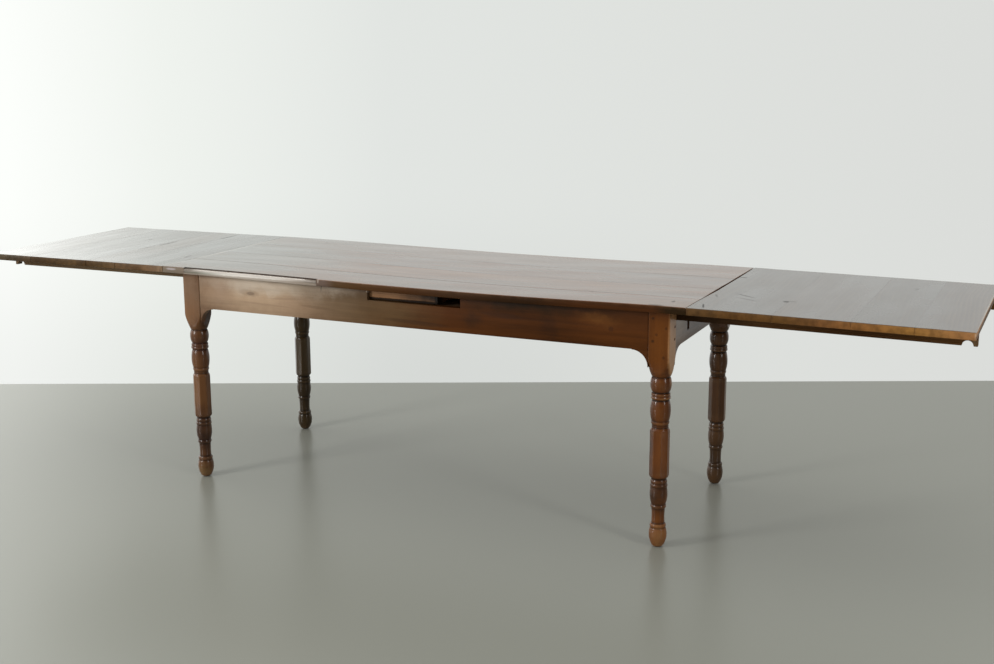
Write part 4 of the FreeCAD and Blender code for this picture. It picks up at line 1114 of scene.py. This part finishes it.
for node in ("bearer_left", "bearer_right", "keeper_left", "keeper_right", "centre_bearer"):
    aged_copy(node, "frame", inner_wood)
aged_copy("guide_pegs", "frame", pin_wood)
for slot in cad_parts["frame_pegs"].material_slots:
    slot.material = frame_peg_wood


# ---- Stage, light and camera

EYE = Vector((2.0003, -4.0574, 1.5174))
AZIMUTH = math.radians(24.46)
PITCH = math.radians(12.26)
ROLL = math.radians(-0.19)
AHEAD = Vector((-math.sin(AZIMUTH), math.cos(AZIMUTH), 0))
ACROSS = Vector((math.cos(AZIMUTH), math.sin(AZIMUTH), 0))
SENSOR, FOCAL_PIXELS, PICTURE_WIDTH = 36, 1333, 994
WALL, FLOOR_REACH = 1.378, 9


def place_camera():
    forward = AHEAD * math.cos(PITCH) - Vector((0, 0, math.sin(PITCH)))
    above = ACROSS.cross(forward)
    right = ACROSS * math.cos(ROLL) + above * math.sin(ROLL)
    up = above * math.cos(ROLL) - ACROSS * math.sin(ROLL)
    data = bpy.data.cameras.new("camera")
    data.sensor_width = SENSOR
    data.lens = FOCAL_PIXELS / PICTURE_WIDTH * SENSOR
    data.clip_end = 60
    camera = new_object("camera", data)
    axes = Matrix((right, up, -forward)).transposed().to_4x4()
    camera.matrix_world = Matrix.Translation(EYE) @ axes
    bpy.context.scene.camera = camera


def floor_piece():
    """A plain pale floor that ends at the foot of the plain backdrop behind the table."""
    far = FLOOR_REACH
    ends = ((WALL, -far), (-far, -far), (-far, far), (WALL, far))
    corners = [AHEAD * a + ACROSS * b for a, b in ends]
    mesh = bpy.data.meshes.new("floor")
    mesh.from_pydata([tuple(c) for c in corners], [], [(0, 1, 2, 3)])
    piece = new_object("floor", mesh)
    material, g = new_material("floor")
    g.surface(Base_Color=(0.309, 0.314, 0.273, 1), Roughness=0.28, Specular_IOR_Level=0.31)
    mesh.materials.append(material)


def world_light():
    """A pale room seen behind the table, brightest at the left, and a dimmer one before it."""
    world = bpy.data.worlds.new("room")
    world.use_nodes = True
    bpy.context.scene.world = world
    g = Graph(world.node_tree)
    direction = g.add("TexCoord", out=0)
    side, ahead, up = (
        g.vector("DOT_PRODUCT", direction, axis, out=1) for axis in (ACROSS, AHEAD, (0, 0, 1))
    )
    backdrop = g.bands(side, (
        (-0.5, (1.0, 1.0, 1.0)), (-0.34, (0.98, 1.0, 0.97)), (-0.24, (0.87, 0.9, 0.86)),
        (-0.08, (0.76, 0.785, 0.76)), (0.12, (0.735, 0.755, 0.73)), (0.5, (0.69, 0.7, 0.68)),
    ))
    left = g.ramp(side, 0.2, -0.9)
    before = g.mix(left, (0.085, 0.085, 0.085), (0.3, 0.3, 0.29))
    shown = g.mix(g.ramp(ahead, -0.05, 0.12), before, backdrop)
    soft_before = g.mix(left, (0.14, 0.14, 0.135), (0.5, 0.5, 0.48))
    soft = g.mix(g.ramp(ahead, -0.3, 0.3), soft_before, (0.62, 0.63, 0.61))
    soft = g.mix(g.ramp(up, 0.0, 0.7), soft, (0.66, 0.66, 0.64))
    # Low down on the right the backdrop is darker: a painted shadow under the table, with the
    # darker skirting at the wall's foot.
    low = g.ramp(up, -0.1, -0.25)
    shaded = g.mix(g.times(low, 0.11), shown, (0.0, 0.0, 0.0))
    shown = g.mix(g.ramp(side, 0.25, -0.05), shown, shaded)
    rays = g.add("LightPath", out=None)
    camera = rays.outputs["Is Camera Ray"]
    window = g.times(g.ramp(side, -0.22, -0.42), g.ramp(up, -0.05, 0.1, 0.0, 1.06))
    strength = g.plus(1.0, g.fade(window, camera))
    seen = g.math("MAXIMUM", camera, rays.outputs["Is Glossy Ray"])
    seen = g.math("MAXIMUM", seen, rays.outputs["Is Transmission Ray"])
    shown = g.add("Background", {0: shown, 1: strength})
    soft = g.add("Background", {0: soft, 1: 1.0})
    both = g.add("MixShader", {0: seen, 1: soft, 2: shown})
    g.add("OutputWorld", {0: both}, out=None)


def softbox(name, place, aim, width, height, power):
    data = bpy.data.lights.new(name, "AREA")
    data.shape = "RECTANGLE"
    data.size = width
    data.size_y = height
    data.energy = power
    lamp = new_object(name, data)
    lamp.location = place
    lamp.rotation_euler = (Vector(aim) - Vector(place)).to_track_quat("-Z", "Y").to_euler()
    lamp.visible_camera = False


bpy.context.scene.view_settings.view_transform = "Standard"
place_camera()
floor_piece()
world_light()
softbox("window_left", (-3.5, -4.6, 2.1), (-0.4, 0, 0.6), 1.3, 2.4, 150)
softbox("window_side", (-4.6, 0.2, 1.9), (-1.6, 0.0, 0.0), 2.4, 1.6, 22)
softbox("window_right", (4.6, -2.0, 1.9), (0.5, 0, 0.5), 0.7, 2.2, 45)
